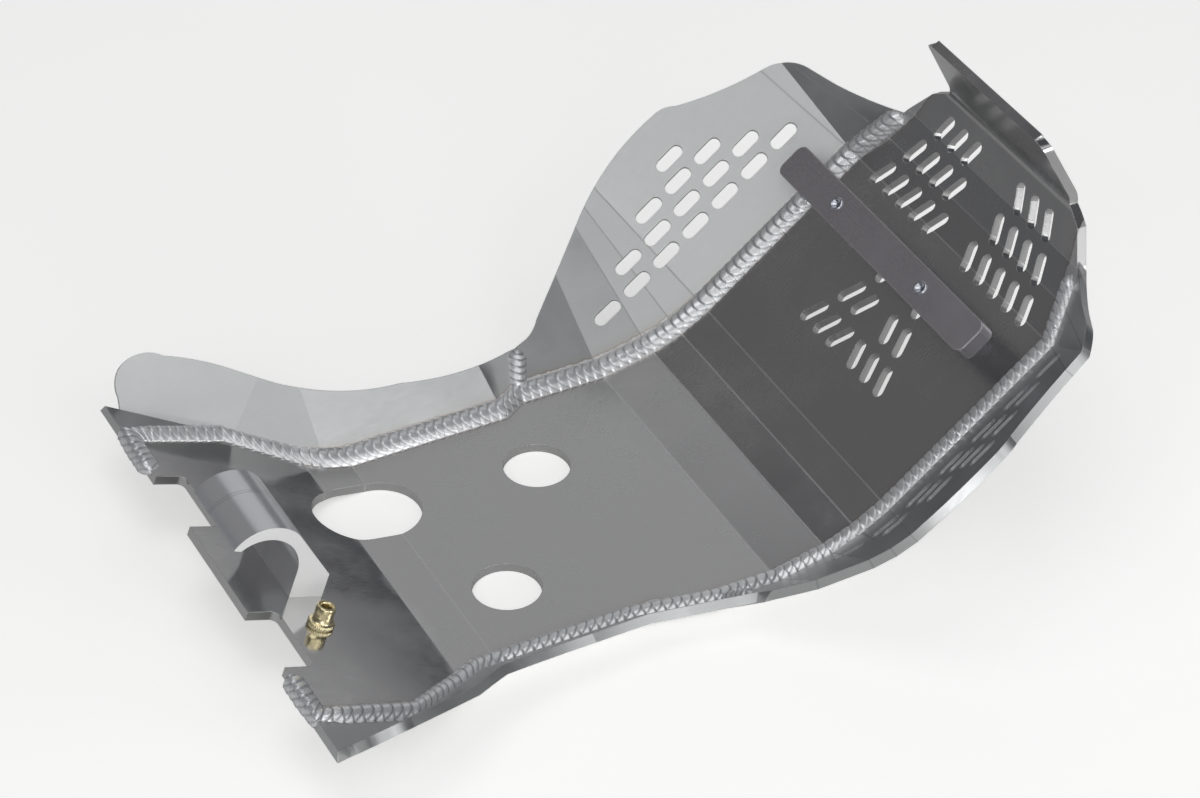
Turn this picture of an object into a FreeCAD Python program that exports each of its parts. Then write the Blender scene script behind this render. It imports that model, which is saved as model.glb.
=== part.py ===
import FreeCAD, Part
import Sketcher
import math
import os
from FreeCAD import Vector, Placement, Rotation

# Motorcycle skid plate: a folded aluminium bottom plate with four welded side wings, a hook over the
# frame tube at the rear, a clamp bar over the front ramp and a threaded insert beside the hook.
#
# Frame: +Z up, the front of the motorcycle towards -Y, its left side towards +X. The origin is the
# centre of the underside of the flat base, on which the plate rests.

os.makedirs("parts", exist_ok=True)
doc = FreeCAD.newDocument("SkidPlate")

# Driving dimensions

DIMENSIONS = [
    # folded bottom plate
    ("sheet_thickness", 5.0),
    ("bend_radius", 9.0),
    ("base_length", 153.0),
    ("heel_length", 23.9),
    ("heel_slope", 9.7),
    ("tail_length", 90.2),
    ("tail_slope", 19.44),
    ("toe_length", 30.9),
    ("toe_slope", 12.3),
    ("instep_length", 18.6),
    ("instep_slope", 22.35),
    ("throat_length", 18.9),
    ("throat_slope", 31.4),
    ("ramp_length", 115.9),
    ("ramp_slope", 38.8),
    ("brow_length", 19.3),
    ("brow_slope", 48.5),
    ("neck_length", 18.95),
    ("neck_slope", 57.0),
    ("crown_length", 24.9),
    ("crown_slope", 66.5),
    ("lip_length", 43.5),
    ("lip_slope", 118.7),
    # half widths of the plate, from the tail to the lip
    ("tail_half_width", 118.0),
    ("heel_half_width", 97.5),
    ("base_half_width", 88.5),
    ("front_half_width", 96.5),
    ("brow_half_width", 89.0),
    ("neck_half_width", 81.0),
    ("crown_half_width", 69.0),
    ("crown_corner_place", 15.94),
    ("lip_root_half_width", 57.0),
    ("lip_root_place", 22.91),
    ("lip_half_width", 54.5),
    ("lip_corner_radius", 6.0),
    ("tail_flare_end", 31.0),
    ("jog_rear", -14.5),
    ("jog_front", -27.5),
    ("right_jog_rear", 2.0),
    ("right_jog_front", -43.0),
    # rear edge
    ("tab_half_width", 36.0),
    ("notch_outer", 80.0),
    ("notch_depth", 16.5),
    ("notch_corner_radius", 4.0),
    # openings in the base
    ("drain_diameter", 35.6),
    ("left_drain_side", 39.1),
    ("left_drain_place", -10.0),
    ("right_drain_side", 40.2),
    ("right_drain_place", 47.2),
    ("obround_width", 44.9),
    ("obround_side", 42.8),
    ("obround_front", 56.8),
    ("obround_rear", 114.8),
    # cooling slots of the plate
    ("slot_length", 17.6),
    ("slot_width", 6.5),
    ("slot_lean", 24.3),
    ("slot_pitch", 13.1),
    ("lower_row_place", 42.1),
    ("lower_row_step", 21.05),
    ("lower_inner_side", 8.4),
    ("brow_row_place", 3.4),
    ("neck_row_place", 4.5),
    ("crown_row_place", 6.0),
    ("upper_inner_side", 16.6),
    # front wings
    ("front_flare", 50.0),
    ("nose_flare", 53.7),
    ("wing_slot_length", 17.6),
    ("wing_slot_width", 7.0),
    ("wing_slot_pitch", 22.5),
    ("wing_row_shift", 4.0),
    ("wing_row_rise", 12.4),
    ("wing_slot_start", 2.1),
    ("wing_slot_height", 33.4),
    ("right_slot_shift", 11.8),
    ("right_outline_shift", 5.0),
    ("right_front_more_flare", 1.2),
    ("right_rear_more_flare", 5.5),
    ("wing_view_slope", 30.0),
    # rear wings
    ("rear_flare", 42.0),
    ("wing_turn_place", 88.2),
    ("wing_turn_half_width", 91.1),
    ("fold_start_side", 116.5),
    ("fold_start", 30.0),
    ("fold_end_side", 144.5),
    ("fold_end", 92.0),
    ("wall_line_height", 36.3),
    ("wall_line_place", 89.4),
    ("flare_line_place", 107.9),
    ("flare_line_height", 41.6),
    ("joint_foot", -28.0),
    ("right_joint_foot", -43.5),
    ("joint_lean", 30.0),
    # weld beads
    ("bead_leg", 6.0),
    ("bead_crest", 5.0),
    ("bead_cap", 3.6),
    ("bead_root", 1.5),
    ("bead_bite", 0.5),
    ("bead_wrap_side", 85.0),
    ("joint_bead_radius", 4.8),
    ("joint_bead_length", 24.0),
    # hook bracket, places along the tail from its bend and heights above it
    ("hook_width", 50.0),
    ("hook_foot_front", 43.9),
    ("hook_wall", 62.4),
    ("hook_shoulder_height", 13.4),
    ("hook_ramp_place", 67.5),
    ("hook_outer_place", 81.1),
    ("hook_outer_height", 19.8),
    ("hook_outer_radius", 21.9),
    ("hook_inner_radius", 19.9),
    ("hook_inner_height", 14.8),
    ("hook_outer_tip", 101.2),
    ("hook_inner_tip", 97.2),
    ("hook_screw_side", 15.0),
    ("hook_screw_diameter", 6.0),
    ("hook_screw_head", 11.0),
    ("hook_screw_head_height", 2.5),
    ("hook_screw_length", 16.0),
    # brass insert
    ("insert_side", 48.4),
    ("insert_place", 55.9),
    ("insert_diameter", 9.9),
    ("insert_collar_diameter", 13.7),
    ("insert_collar_height", 3.0),
    ("insert_height", 12.0),
    ("insert_spigot_diameter", 9.0),
    ("insert_bore", 5.0),
    # clamp bar
    ("bar_half_length", 90.0),
    ("bar_width", 20.0),
    ("bar_thickness", 10.0),
    ("bar_gap", 28.5),
    ("bar_place", 90.5),
    ("bar_corner_radius", 5.0),
    ("bolt_side", 41.5),
    ("bolt_diameter", 6.0),
    ("bolt_head_width", 10.0),
    ("bolt_head_height", 4.0),
    ("nut_width", 10.0),
    ("nut_height", 5.0),
    ("running_clearance", 0.3),
]

sizes = doc.addObject("Spreadsheet::Sheet", "Sizes")
for row, (alias, number) in enumerate(DIMENSIONS, start=1):
    sizes.set("A%d" % row, alias)
    sizes.set("B%d" % row, str(number))
    sizes.setAlias("B%d" % row, alias)
doc.recompute()


def size(alias):
    return float(getattr(sizes, alias))


def cell(alias):
    return "Sizes.%s" % alias


thickness = size("sheet_thickness")
X_AXIS = Vector(1, 0, 0)
WIDE = 400.0
# how far the middle of a quarter round lies from the sides of its corner, as a share of its radius
QUARTER_BOW = 1 - math.sqrt(0.5)
# every round end of a slot is drawn as this many flats
SLOT_FLATS = 6


# Sections of the folded plate: each one is a plane strip with a start, a run direction and a normal

class Section:
    def __init__(self, start, slope, length, forward):
        self.start = start
        self.slope = slope
        self.length = length
        angle = math.radians(slope)
        heading = -1.0 if forward else 1.0
        self.run = Vector(0, heading * math.cos(angle), math.sin(angle))
        self.normal = Vector(0, -heading * math.sin(angle), math.cos(angle))
        self.end = start + self.run * length

    def at(self, side, place, height=0.0):
        return self.start + self.run * place + self.normal * height + X_AXIS * side


def chain(start, names, forward):
    found = {}
    for name in names:
        section = Section(start, size(name + "_slope"), size(name + "_length"), forward)
        found[name] = section
        start = section.end
    return found


half_base = size("base_length") / 2
FRONT = ["toe", "instep", "throat", "ramp", "brow", "neck", "crown", "lip"]
REAR = ["heel", "tail"]
sections = chain(Vector(0, -half_base, thickness), FRONT, True)
sections.update(chain(Vector(0, half_base, thickness), REAR, False))
tail = sections["tail"]
ramp = sections["ramp"]


class Hand:
    # what differs between the two sides: every wing is built on the left and then mirrored if need be
    def __init__(self, name):
        right = name == "right"
        self.mirror = -1 if right else 1
        self.jog_rear = size("right_jog_rear" if right else "jog_rear")
        self.jog_front = size("right_jog_front" if right else "jog_front")
        self.joint_foot = size("right_joint_foot" if right else "joint_foot")
        self.slot_shift = size("right_slot_shift") if right else 0.0
        self.outline_shift = size("right_outline_shift") if right else 0.0
        more = size("right_front_more_flare") if right else 0.0
        self.front_flare = size("front_flare") + more
        self.nose_flare = size("nose_flare") + more
        self.rear_flare = size("rear_flare") + (size("right_rear_more_flare") if right else 0.0)


hands = {"left": Hand("left"), "right": Hand("right")}


# Small helpers for bodies and sketches

def new_body(label):
    body = doc.addObject("PartDesign::Body", label)
    body.Label = label
    return body


def origin_plane(body, role):
    return [item for item in body.Origin.OriginFeatures if item.Role == role][0]


def new_sketch(body, name, role="XY_Plane", offset=None):
    sketch = body.newObject("Sketcher::SketchObject", name)
    sketch.AttachmentSupport = (origin_plane(body, role), [""])
    sketch.MapMode = "FlatFace"
    if offset is not None:
        sketch.AttachmentOffset = offset
    return sketch


def section_offset(section, height=0.0):
    # puts a sketch on a section: its x runs to the left side and its y towards the rear
    sign = -1.0 if section.run.y < 0 else 1.0
    place = section.start + section.normal * height
    return Placement(place, Rotation(X_AXIS, sign * section.slope))


def add_polygon(sketch, points):
    first = sketch.GeometryCount
    count = len(points)
    for index in range(count):
        sketch.addGeometry(Part.LineSegment(points[index], points[(index + 1) % count]), False)
    for index in range(count):
        following = first + (index + 1) % count
        sketch.addConstraint(Sketcher.Constraint("Coincident", first + index, 2, following, 1))
    return first


def add_wire(sketch, edges):
    # edges is a list of lines and arcs that follow each other and close
    first = sketch.GeometryCount
    for edge in edges:
        sketch.addGeometry(edge, False)
    return first


def slot_points(centre, along, length, width, flats=SLOT_FLATS):
    # the corners of an obround, whose long sides run along the given direction
    across = Vector(-along.y, along.x, 0)
    points = []
    for heading in (1, -1):
        middle = centre + along * (heading * (length - width) / 2)
        for step in range(flats + 1):
            angle = math.pi * (step / flats - 0.5)
            turned = along * math.cos(angle) + across * math.sin(angle)
            points.append(middle + turned * (heading * width / 2))
    return points


def add_slot(sketch, centre, along, length, width, flats=SLOT_FLATS):
    add_polygon(sketch, slot_points(centre, along, length, width, flats))


def add_pad(body, sketch, name, expression, symmetric=True):
    pad = body.newObject("PartDesign::Pad", name)
    pad.Profile = sketch
    pad.setExpression("Length", expression)
    pad.Midplane = symmetric
    doc.recompute()
    return pad


def add_pocket(body, sketch, name, expression):
    # every pocket is cut to both sides of its sketch, so it always meets the sheet
    before = body.Shape.Volume
    pocket = body.newObject("PartDesign::Pocket", name)
    pocket.Profile = sketch
    pocket.setExpression("Length", expression)
    pocket.Midplane = True
    doc.recompute()
    if body.Shape.Volume >= before:
        raise RuntimeError(name + " cuts nothing")
    return pocket


def edges_near(shape, points):
    names = []
    for index, edge in enumerate(shape.Edges, start=1):
        middle = edge.CenterOfMass
        for point in points:
            if Vector(0, middle.y - point.y, middle.z - point.z).Length < 0.01:
                names.append("Edge%d" % index)
                break
    return names


def feature(label, shape):
    item = doc.addObject("Part::Feature", label)
    item.Label = label
    item.Shape = shape
    return item


# Main plate: the side view of the folded sheet

def profile_lines():
    # top lines from the tail's end to the lip's end: name, start, end
    lines = [("tail", tail.end, tail.start), ("heel", sections["heel"].end, sections["heel"].start)]
    lines.append(("base", sections["heel"].start, sections["toe"].start))
    for name in FRONT:
        lines.append((name, sections[name].start, sections[name].end))
    return lines


def flat(point):
    # a point of the side view in the sketch on the YZ plane
    return Vector(point.y, point.z, 0)


def under_point(before, after, point):
    # the point of the underside below a bend of the top surface
    one = Vector(before.y, before.z, 0)
    two = Vector(after.y, after.z, 0)
    mid = one + two
    mid.normalize()
    return flat(point) - mid * (thickness / mid.dot(one))


def profile_normals():
    names = ["tail", "heel"]
    normals = [sections[name].normal for name in names] + [Vector(0, 0, 1)]
    return normals + [sections[name].normal for name in FRONT]


def draw_profile(body):
    sketch = new_sketch(body, "SideView", "YZ_Plane")
    lines = profile_lines()
    normals = profile_normals()
    top = [flat(lines[0][1])] + [flat(line[2]) for line in lines]
    under = [flat(lines[0][1]) - flat(normals[0]) * thickness]
    for index in range(1, len(lines)):
        under.append(under_point(normals[index - 1], normals[index], lines[index][1]))
    under.append(flat(lines[-1][2]) - flat(normals[-1]) * thickness)
    count = len(lines)
    add_polygon(sketch, top + under[::-1])
    add = sketch.addConstraint
    con = Sketcher.Constraint
    for index, (name, start, end) in enumerate(lines):
        length = add(con("Distance", index, (end - start).Length))
        sketch.setExpression("Constraints[%d]" % length, cell(name + "_length"))
        lower = 2 * count - index
        add(con("Parallel", index, lower))
        offset = add(con("Distance", lower, 2, index, thickness))
        sketch.setExpression("Constraints[%d]" % offset, cell("sheet_thickness"))
        if name == "base":
            add(con("Horizontal", index))
            continue
        heading = flat(end - start)
        angle = add(con("Angle", index, math.atan2(heading.y, heading.x)))
        rising = "180 deg - %s * 1 deg" if name in FRONT else "-180 deg + %s * 1 deg"
        sketch.setExpression("Constraints[%d]" % angle, rising % cell(name + "_slope"))
    add(con("Perpendicular", 0, 2 * count + 1))
    add(con("Perpendicular", count - 1, count))
    place = add(con("DistanceX", 2, 1, -1, 1, -half_base))
    sketch.setExpression("Constraints[%d]" % place, "-%s / 2" % cell("base_length"))
    level = add(con("DistanceY", -1, 1, 2, 1, thickness))
    sketch.setExpression("Constraints[%d]" % level, cell("sheet_thickness"))
    doc.recompute()
    bends = [line[1] for line in lines[1:]]
    below = [Vector(0, point.x, point.y) for point in under[1:-1]]
    return sketch, bends, below


def plan_outline(hand):
    # one side of the outline seen from above, from the tail forward: side and place
    flare_start = tail.at(size("heel_half_width"), 0)
    flare_end = tail.at(size("tail_half_width"), size("tail_flare_end"))
    points = [
        Vector(size("tail_half_width"), WIDE, 0),
        Vector(size("tail_half_width"), flare_end.y, 0),
        Vector(size("heel_half_width"), flare_start.y, 0),
        Vector(size("wing_turn_half_width"), size("wing_turn_place"), 0),
        Vector(size("base_half_width"), half_base, 0),
        Vector(size("base_half_width"), hand.jog_rear, 0),
        Vector(size("front_half_width"), hand.jog_front, 0),
        Vector(size("front_half_width"), -WIDE, 0),
        Vector(WIDE, -WIDE, 0),
        Vector(WIDE, WIDE, 0),
    ]
    return [Vector(hand.mirror * point.x, point.y, 0) for point in points]


def trim_sides(body):
    sketch = new_sketch(body, "PlanOutline")
    for hand in hands.values():
        add_polygon(sketch, plan_outline(hand))
    add_pocket(body, sketch, "PlanTrim", "4 * %s" % cell("base_length"))


def trim_front(body):
    # the shoulders of the nose, seen from the front
    sketch = new_sketch(body, "FrontOutline", "XZ_Plane")
    corner = size("lip_corner_radius")
    lip_top = sections["lip"].end.z + thickness
    bound = lip_top + thickness
    neck = sections["neck"]
    crown = sections["crown"]
    lip_side = size("lip_half_width")
    level = lip_top - thickness
    bow = corner * QUARTER_BOW
    for side in (1, -1):
        start = Vector(side * lip_side, level - corner, 0)
        round_middle = Vector(side * (lip_side - bow), level - bow, 0)
        round_end = Vector(side * (lip_side - corner), level, 0)
        points = [
            Vector(side * size("front_half_width"), ramp.end.z, 0),
            Vector(side * size("brow_half_width"), neck.start.z, 0),
            Vector(side * size("neck_half_width"), crown.start.z, 0),
            Vector(side * size("crown_half_width"), crown.at(0, size("crown_corner_place")).z, 0),
            Vector(side * size("lip_root_half_width"), crown.at(0, size("lip_root_place")).z, 0),
            start,
        ]
        edges = [Part.LineSegment(one, two) for one, two in zip(points, points[1:])]
        edges.append(Part.Arc(start, round_middle, round_end))
        closing = [round_end, Vector(round_end.x, bound, 0), Vector(side * WIDE, bound, 0),
                   Vector(side * WIDE, ramp.end.z, 0), points[0]]
        edges += [Part.LineSegment(one, two) for one, two in zip(closing, closing[1:])]
        add_wire(sketch, edges)
    add_pocket(body, sketch, "FrontTrim", "6 * %s" % cell("base_length"))


def notch_wire(side, depth):
    # one notch of the rear edge with rounded inner corners, drawn on the tail
    inner = side * size("tab_half_width")
    outer = side * size("notch_outer")
    radius = size("notch_corner_radius")
    bottom = tail.length - depth
    top = tail.length + depth
    step = side * radius
    bow = radius * QUARTER_BOW
    return [
        Part.LineSegment(Vector(inner, top, 0), Vector(inner, bottom + radius, 0)),
        Part.Arc(Vector(inner, bottom + radius, 0), Vector(inner + side * bow, bottom + bow, 0),
                 Vector(inner + step, bottom, 0)),
        Part.LineSegment(Vector(inner + step, bottom, 0), Vector(outer - step, bottom, 0)),
        Part.Arc(Vector(outer - step, bottom, 0), Vector(outer - side * bow, bottom + bow, 0),
                 Vector(outer, bottom + radius, 0)),
        Part.LineSegment(Vector(outer, bottom + radius, 0), Vector(outer, top, 0)),
        Part.LineSegment(Vector(outer, top, 0), Vector(inner, top, 0)),
    ]


def cut_notches(body):
    sketch = new_sketch(body, "RearNotches", offset=section_offset(tail))
    for side in (1, -1):
        add_wire(sketch, notch_wire(side, size("notch_depth")))
    add_pocket(body, sketch, "NotchCut", "4 * %s" % cell("sheet_thickness"))


def cut_openings(body):
    sketch = new_sketch(body, "Openings")
    drains = [Vector(size("left_drain_side"), size("left_drain_place"), 0),
              Vector(-size("right_drain_side"), size("right_drain_place"), 0)]
    add_circles(sketch, drains, size("drain_diameter"), cell("drain_diameter"))
    length = size("obround_rear") - size("obround_front")
    centre = Vector(size("obround_side"), (size("obround_rear") + size("obround_front")) / 2, 0)
    add_slot(sketch, centre, Vector(0, 1, 0), length, size("obround_width"), 4 * SLOT_FLATS)
    add_pocket(body, sketch, "OpeningCut", "16 * %s" % cell("sheet_thickness"))


def lean_direction(side):
    # slots lean inwards as they rise towards the front
    lean = math.radians(size("slot_lean"))
    return Vector(-side * math.sin(lean), -math.cos(lean), 0)


def cut_slot_rows(body, name, rows):
    # rows: list of (place of the row's centres, list of side distances)
    sketch = new_sketch(body, name + "Slots", offset=section_offset(sections[name]))
    for place, sides in rows:
        for distance in sides:
            for side in (1, -1):
                centre = Vector(side * distance, -place, 0)
                add_slot(sketch, centre, lean_direction(side), size("slot_length"), size("slot_width"))
    add_pocket(body, sketch, name.capitalize() + "SlotCut", "4 * %s" % cell("sheet_thickness"))


def slot_sides(first, count):
    return [first + index * size("slot_pitch") for index in range(count)]


def ramp_rows():
    # a triangle of slots: three, two and one on each side, each row half a pitch further in
    step = size("lower_row_step")
    place = size("lower_row_place")
    first = size("lower_inner_side")
    drift = step * math.tan(math.radians(size("slot_lean")))
    return [
        (place, slot_sides(first, 3)),
        (place + step, slot_sides(first + size("slot_pitch") - drift, 2)),
        (place + 2 * step, slot_sides(first + 2 * (size("slot_pitch") - drift), 1)),
    ]


def add_circles(sketch, centres, diameter, expression):
    for centre in centres:
        geo = sketch.addGeometry(Part.Circle(centre, Vector(0, 0, 1), diameter / 2), False)
        across = sketch.addConstraint(Sketcher.Constraint("Diameter", geo, diameter))
        sketch.setExpression("Constraints[%d]" % across, expression)


def cut_fastener_holes(body):
    clearance = size("running_clearance")
    doubled = " + 2 * %s" % cell("running_clearance")
    foot = (size("hook_foot_front") + size("hook_wall")) / 2
    sketch = new_sketch(body, "TailHoles", offset=section_offset(tail))
    screws = [Vector(side * size("hook_screw_side"), foot, 0) for side in (1, -1)]
    add_circles(sketch, screws, size("hook_screw_diameter") + 2 * clearance,
                cell("hook_screw_diameter") + doubled)
    spigot = [Vector(-size("insert_side"), size("insert_place"), 0)]
    add_circles(sketch, spigot, size("insert_spigot_diameter") + 2 * clearance,
                cell("insert_spigot_diameter") + doubled)
    add_pocket(body, sketch, "TailHoleCut", "4 * %s" % cell("sheet_thickness"))
    sketch = new_sketch(body, "ScrewSeats", offset=section_offset(tail, -thickness))
    add_circles(sketch, screws, size("hook_screw_head") + 2 * clearance, cell("hook_screw_head") + doubled)
    add_pocket(body, sketch, "ScrewSeatCut", "2 * %s" % cell("hook_screw_head_height"))
    sketch = new_sketch(body, "RampHoles", offset=section_offset(ramp))
    bolts = [Vector(side * size("bolt_side"), -size("bar_place"), 0) for side in (1, -1)]
    add_circles(sketch, bolts, size("bolt_diameter") + 2 * clearance, cell("bolt_diameter") + doubled)
    add_pocket(body, sketch, "RampHoleCut", "4 * %s" % cell("sheet_thickness"))


def upper_row(name, index):
    # rows of five, four and three on each side, drifting inwards with the lean of the slots
    rise = size("brow_length") + size(name + "_row_place") - size("brow_row_place")
    lean = math.tan(math.radians(size("slot_lean")))
    drift = index * (size("slot_pitch") - rise * lean)
    return size(name + "_row_place"), slot_sides(size("upper_inner_side") + drift, 5 - index)


def build_main_plate():
    body = new_body("main_plate")
    sketch, bends, below = draw_profile(body)
    add_pad(body, sketch, "FoldedSheet", "2 * %s" % cell("tail_half_width"))
    outer_radius = "%s + %s" % (cell("bend_radius"), cell("sheet_thickness"))
    for name, points, radius in (("InnerBends", bends, cell("bend_radius")),
                                 ("OuterBends", below, outer_radius)):
        base = body.Tip
        edges = edges_near(base.Shape, points)
        fillet = body.newObject("PartDesign::Fillet", name)
        fillet.Base = (base, edges)
        fillet.setExpression("Radius", radius)
        doc.recompute()
    trim_sides(body)
    trim_front(body)
    cut_notches(body)
    cut_openings(body)
    cut_slot_rows(body, "ramp", ramp_rows())
    for index, name in enumerate(("brow", "neck", "crown")):
        cut_slot_rows(body, name, [upper_row(name, index)])
    cut_fastener_holes(body)
    doc.recompute()
    return body


main_plate = build_main_plate()


# Wings: each is one folded sheet, built from flat facets that are mitred at their bend lines

class Facet:
    # a flat stretch of sheet: its inner face passes through point, and its metal lies along outward
    def __init__(self, point, outward, inside):
        self.point = point
        self.outward = outward
        self.inside = inside


def flared_facet(start, run, plate_normal, flare, reach):
    # a wall that stands on a seam and leans outwards from the plate's normal by the flare
    angle = math.radians(flare)
    side = plate_normal.cross(run)
    rise = plate_normal * math.cos(angle) + side * math.sin(angle)
    facet = Facet(start, rise.cross(run), start + rise * reach)
    facet.run = run
    facet.rise = rise
    return facet


def box_on_plane(point, normal, low, high):
    box = Part.makeBox(2 * WIDE, 2 * WIDE, high - low, Vector(-WIDE, -WIDE, low))
    box.Placement = Placement(point, Rotation(Vector(0, 0, 1), normal)).multiply(box.Placement)
    return box


def keep_side(shape, point, normal, inside):
    # keeps the part of shape on the same side of the plane as the inside point
    if (inside - point).dot(normal) < 0:
        normal = normal * -1
    return shape.common(box_on_plane(point, normal, 0, 2 * WIDE))


def bend_line(one, two):
    # a point and the upward direction of the line where two inner faces meet
    direction = one.outward.cross(two.outward)
    direction.normalize()
    if direction.z < 0:
        direction = direction * -1
    across = direction.cross(one.outward)
    step = (two.point - one.point).dot(two.outward) / across.dot(two.outward)
    return one.point + across * step, direction


def fold(facets):
    # joins the facets at the bisector planes of their bends
    pieces = []
    for index, facet in enumerate(facets):
        piece = box_on_plane(facet.point, facet.outward, 0, thickness)
        for neighbour in facets[max(index - 1, 0):index] + facets[index + 1:index + 2]:
            point, direction = bend_line(facet, neighbour)
            piece = keep_side(piece, point, facet.outward - neighbour.outward, facet.inside)
        pieces.append(piece)
    return pieces


def fuse_all(pieces):
    whole = pieces[0]
    for piece in pieces[1:]:
        whole = whole.fuse(piece)
    return whole.removeSplitter()


class View:
    # a flat drawing plane that looks along the sheet's normal
    def __init__(self, origin, across, normal):
        self.origin = origin
        self.normal = normal
        self.across = across
        self.up = normal.cross(across)

    def at(self, place, height, depth=0.0):
        return self.origin + self.across * place + self.up * height + self.normal * depth

    def prism(self, edges):
        face = Part.Face(Part.Wire(edges))
        face.translate(self.normal * -WIDE)
        return face.extrude(self.normal * (2 * WIDE))

    def path(self, start, steps):
        # each step is an end, or a way point and an end for an arc
        edges = []
        here = start
        for step in steps:
            if len(step) == 2:
                edges.append(Part.LineSegment(self.at(*here), self.at(*step)).toShape())
                here = step
            else:
                way, end = step[:2], step[2:]
                edges.append(Part.Arc(self.at(*here), self.at(*way), self.at(*end)).toShape())
                here = end
        return edges


def joint_plane(hand):
    # the plane between the front and the rear wing, leaning forward as it rises
    lean = math.radians(size("joint_lean"))
    point = Vector(0, hand.joint_foot, thickness)
    return point, Vector(0, math.cos(lean), math.sin(lean))


def front_facets(hand):
    side = size("front_half_width")
    base = Vector(side, -half_base, thickness)
    reach = size("wing_slot_height")
    flare = hand.front_flare
    facets = [flared_facet(base, Vector(0, -1, 0), Vector(0, 0, 1), flare, reach)]
    facets[0].inside = facets[0].inside + Vector(0, half_base / 2, 0)
    for name in ("toe", "instep", "throat", "ramp"):
        section = sections[name]
        start = section.start + X_AXIS * side
        facet = flared_facet(start, section.run, section.normal, flare, reach)
        facet.inside = facet.inside + section.run * (section.length / 2)
        facets.append(facet)
    foot = ramp.end + X_AXIS * side
    top = sections["crown"].start + X_AXIS * size("neck_half_width")
    run = top - foot
    run.normalize()
    normal = Vector(0, run.z, -run.y)
    normal.normalize()
    nose = flared_facet(foot, run, normal, hand.nose_flare, reach)
    nose.inside = nose.inside + run * (sections["brow"].length / 2)
    facets.append(nose)
    return facets


def front_view(hand):
    # looks square onto a middle stretch of the front wing, from the seam at the foot of the ramp
    angle = math.radians(size("wing_view_slope"))
    run = Vector(0, -math.cos(angle), math.sin(angle))
    normal = Vector(0, math.sin(angle), math.cos(angle))
    foot = ramp.start + X_AXIS * size("front_half_width")
    facet = flared_facet(foot, run, normal, hand.front_flare, 1.0)
    view = View(facet.point, run, facet.outward)
    view.up = facet.rise
    return view


# The front wing's rim, from its rear corner over the crest and the shoulder to the nose. Each row is
# the end of a straight part, or a way point and the end of a round part: place and height in the view.
FRONT_RIM = [
    (-120.0, 43.5),
    (-86.0, 44.5),
    (-80.5, 46.2, -75.0, 49.7),
    (-25.5, 77.3),
    (8.0, 91.3, 44.0, 96.5),
    (51.0, 95.9, 57.0, 92.6),
    (80.0, 83.7, 107.0, 77.1),
    (118.5, 71.2, 125.0, 60.0),
    (130.1, 44.3),
    (135.4, 31.6, 143.1, 16.0),
    (151.1, 2.0),
    (151.1, -33.4),
    (-120.0, -33.4),
    (-120.0, 43.5),
]


def wing_slots(view, shift):
    # seven columns of one, two, three, four, three, two and one slots, parallel to the ramp's seam
    along = Vector(view.across.dot(ramp.run), view.up.dot(ramp.run), 0)
    along.normalize()
    prisms = []
    for column in range(-2, 5):
        for row in range(4 - abs(column - 1)):
            centre = Vector(size("wing_slot_start"), size("wing_slot_height"), 0)
            centre = centre + along * (column * size("wing_slot_pitch") + shift)
            centre = centre + Vector(size("wing_row_shift"), size("wing_row_rise"), 0) * row
            corners = slot_points(centre, along, size("wing_slot_length"), size("wing_slot_width"))
            corners = [(corner.x, corner.y) for corner in corners]
            prisms.append(view.prism(view.path(corners[-1], corners)))
    return prisms


def build_front_wing(hand):
    facets = front_facets(hand)
    pieces = fold(facets)
    trimmed = []
    for facet, piece in zip(facets, pieces):
        trimmed.append(keep_side(piece, facet.point, facet.rise, facet.inside))
    wing = fuse_all(trimmed)
    point, normal = joint_plane(hand)
    wing = keep_side(wing, point, normal, ramp.start)
    view = front_view(hand)
    outline = view.prism(view.path(FRONT_RIM[0], FRONT_RIM[1:]))
    outline.translate(view.across * hand.outline_shift)
    wing = wing.common(outline)
    for prism in wing_slots(view, hand.slot_shift):
        wing = wing.cut(prism)
    return wing


def rear_points(hand):
    # where the rear wing turns: on the heel, at the start of the fold and at the corner of the flange
    tangent = math.tan(math.radians(hand.rear_flare))
    side = size("base_half_width")
    heel = sections["heel"]
    turn = heel.at(0, (size("wing_turn_place") - half_base) / heel.run.y)
    turn.x = side + (turn.z - thickness) * tangent
    wall_top = Vector(side + (size("wall_line_height") - thickness) * tangent, size("wall_line_place"),
                      size("wall_line_height"))
    fold_start = tail.at(size("fold_start_side"), size("fold_start"))
    fold_end = tail.at(size("fold_end_side"), size("fold_end"))
    return turn, wall_top, fold_start, fold_end


def plane_through(one, two, three, inside):
    outward = (two - one).cross(three - one)
    outward.normalize()
    if outward.x < 0:
        outward = outward * -1
    return Facet(one, outward, inside)


# how far above its seam a point is sure to lie on a rear wall
WALL_REACH = 20.0


def jog_facet(hand):
    # the wall follows the plate's edge where it steps out to the front half width
    start = Vector(size("base_half_width"), hand.jog_rear, thickness)
    end = Vector(size("front_half_width"), hand.jog_front, thickness)
    run = end - start
    run.normalize()
    facet = flared_facet(start, run, Vector(0, 0, 1), hand.rear_flare, WALL_REACH)
    facet.inside = facet.inside + run * WALL_REACH
    return facet


def rear_facets(hand):
    turn, wall_top, fold_start, fold_end = rear_points(hand)
    wall = flared_facet(Vector(size("base_half_width"), half_base, thickness), Vector(0, -1, 0),
                        Vector(0, 0, 1), hand.rear_flare, WALL_REACH)
    wall.inside = wall.inside - Vector(0, half_base / 2, 0)
    middle = plane_through(turn, fold_start, wall_top, (turn + fold_start + wall_top) * (1.0 / 3))
    place, height = size("flare_line_place"), size("flare_line_height")
    normal = middle.outward
    drop = normal.y * (place - middle.point.y) + normal.z * (height - middle.point.z)
    flare_top = Vector(middle.point.x - drop / normal.x, place, height)
    middle.inside = (turn + fold_start + wall_top + flare_top) * 0.25
    flare = plane_through(fold_start, fold_end, flare_top, (fold_end + flare_top) * 0.5)
    return [jog_facet(hand), wall, middle, flare]


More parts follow.
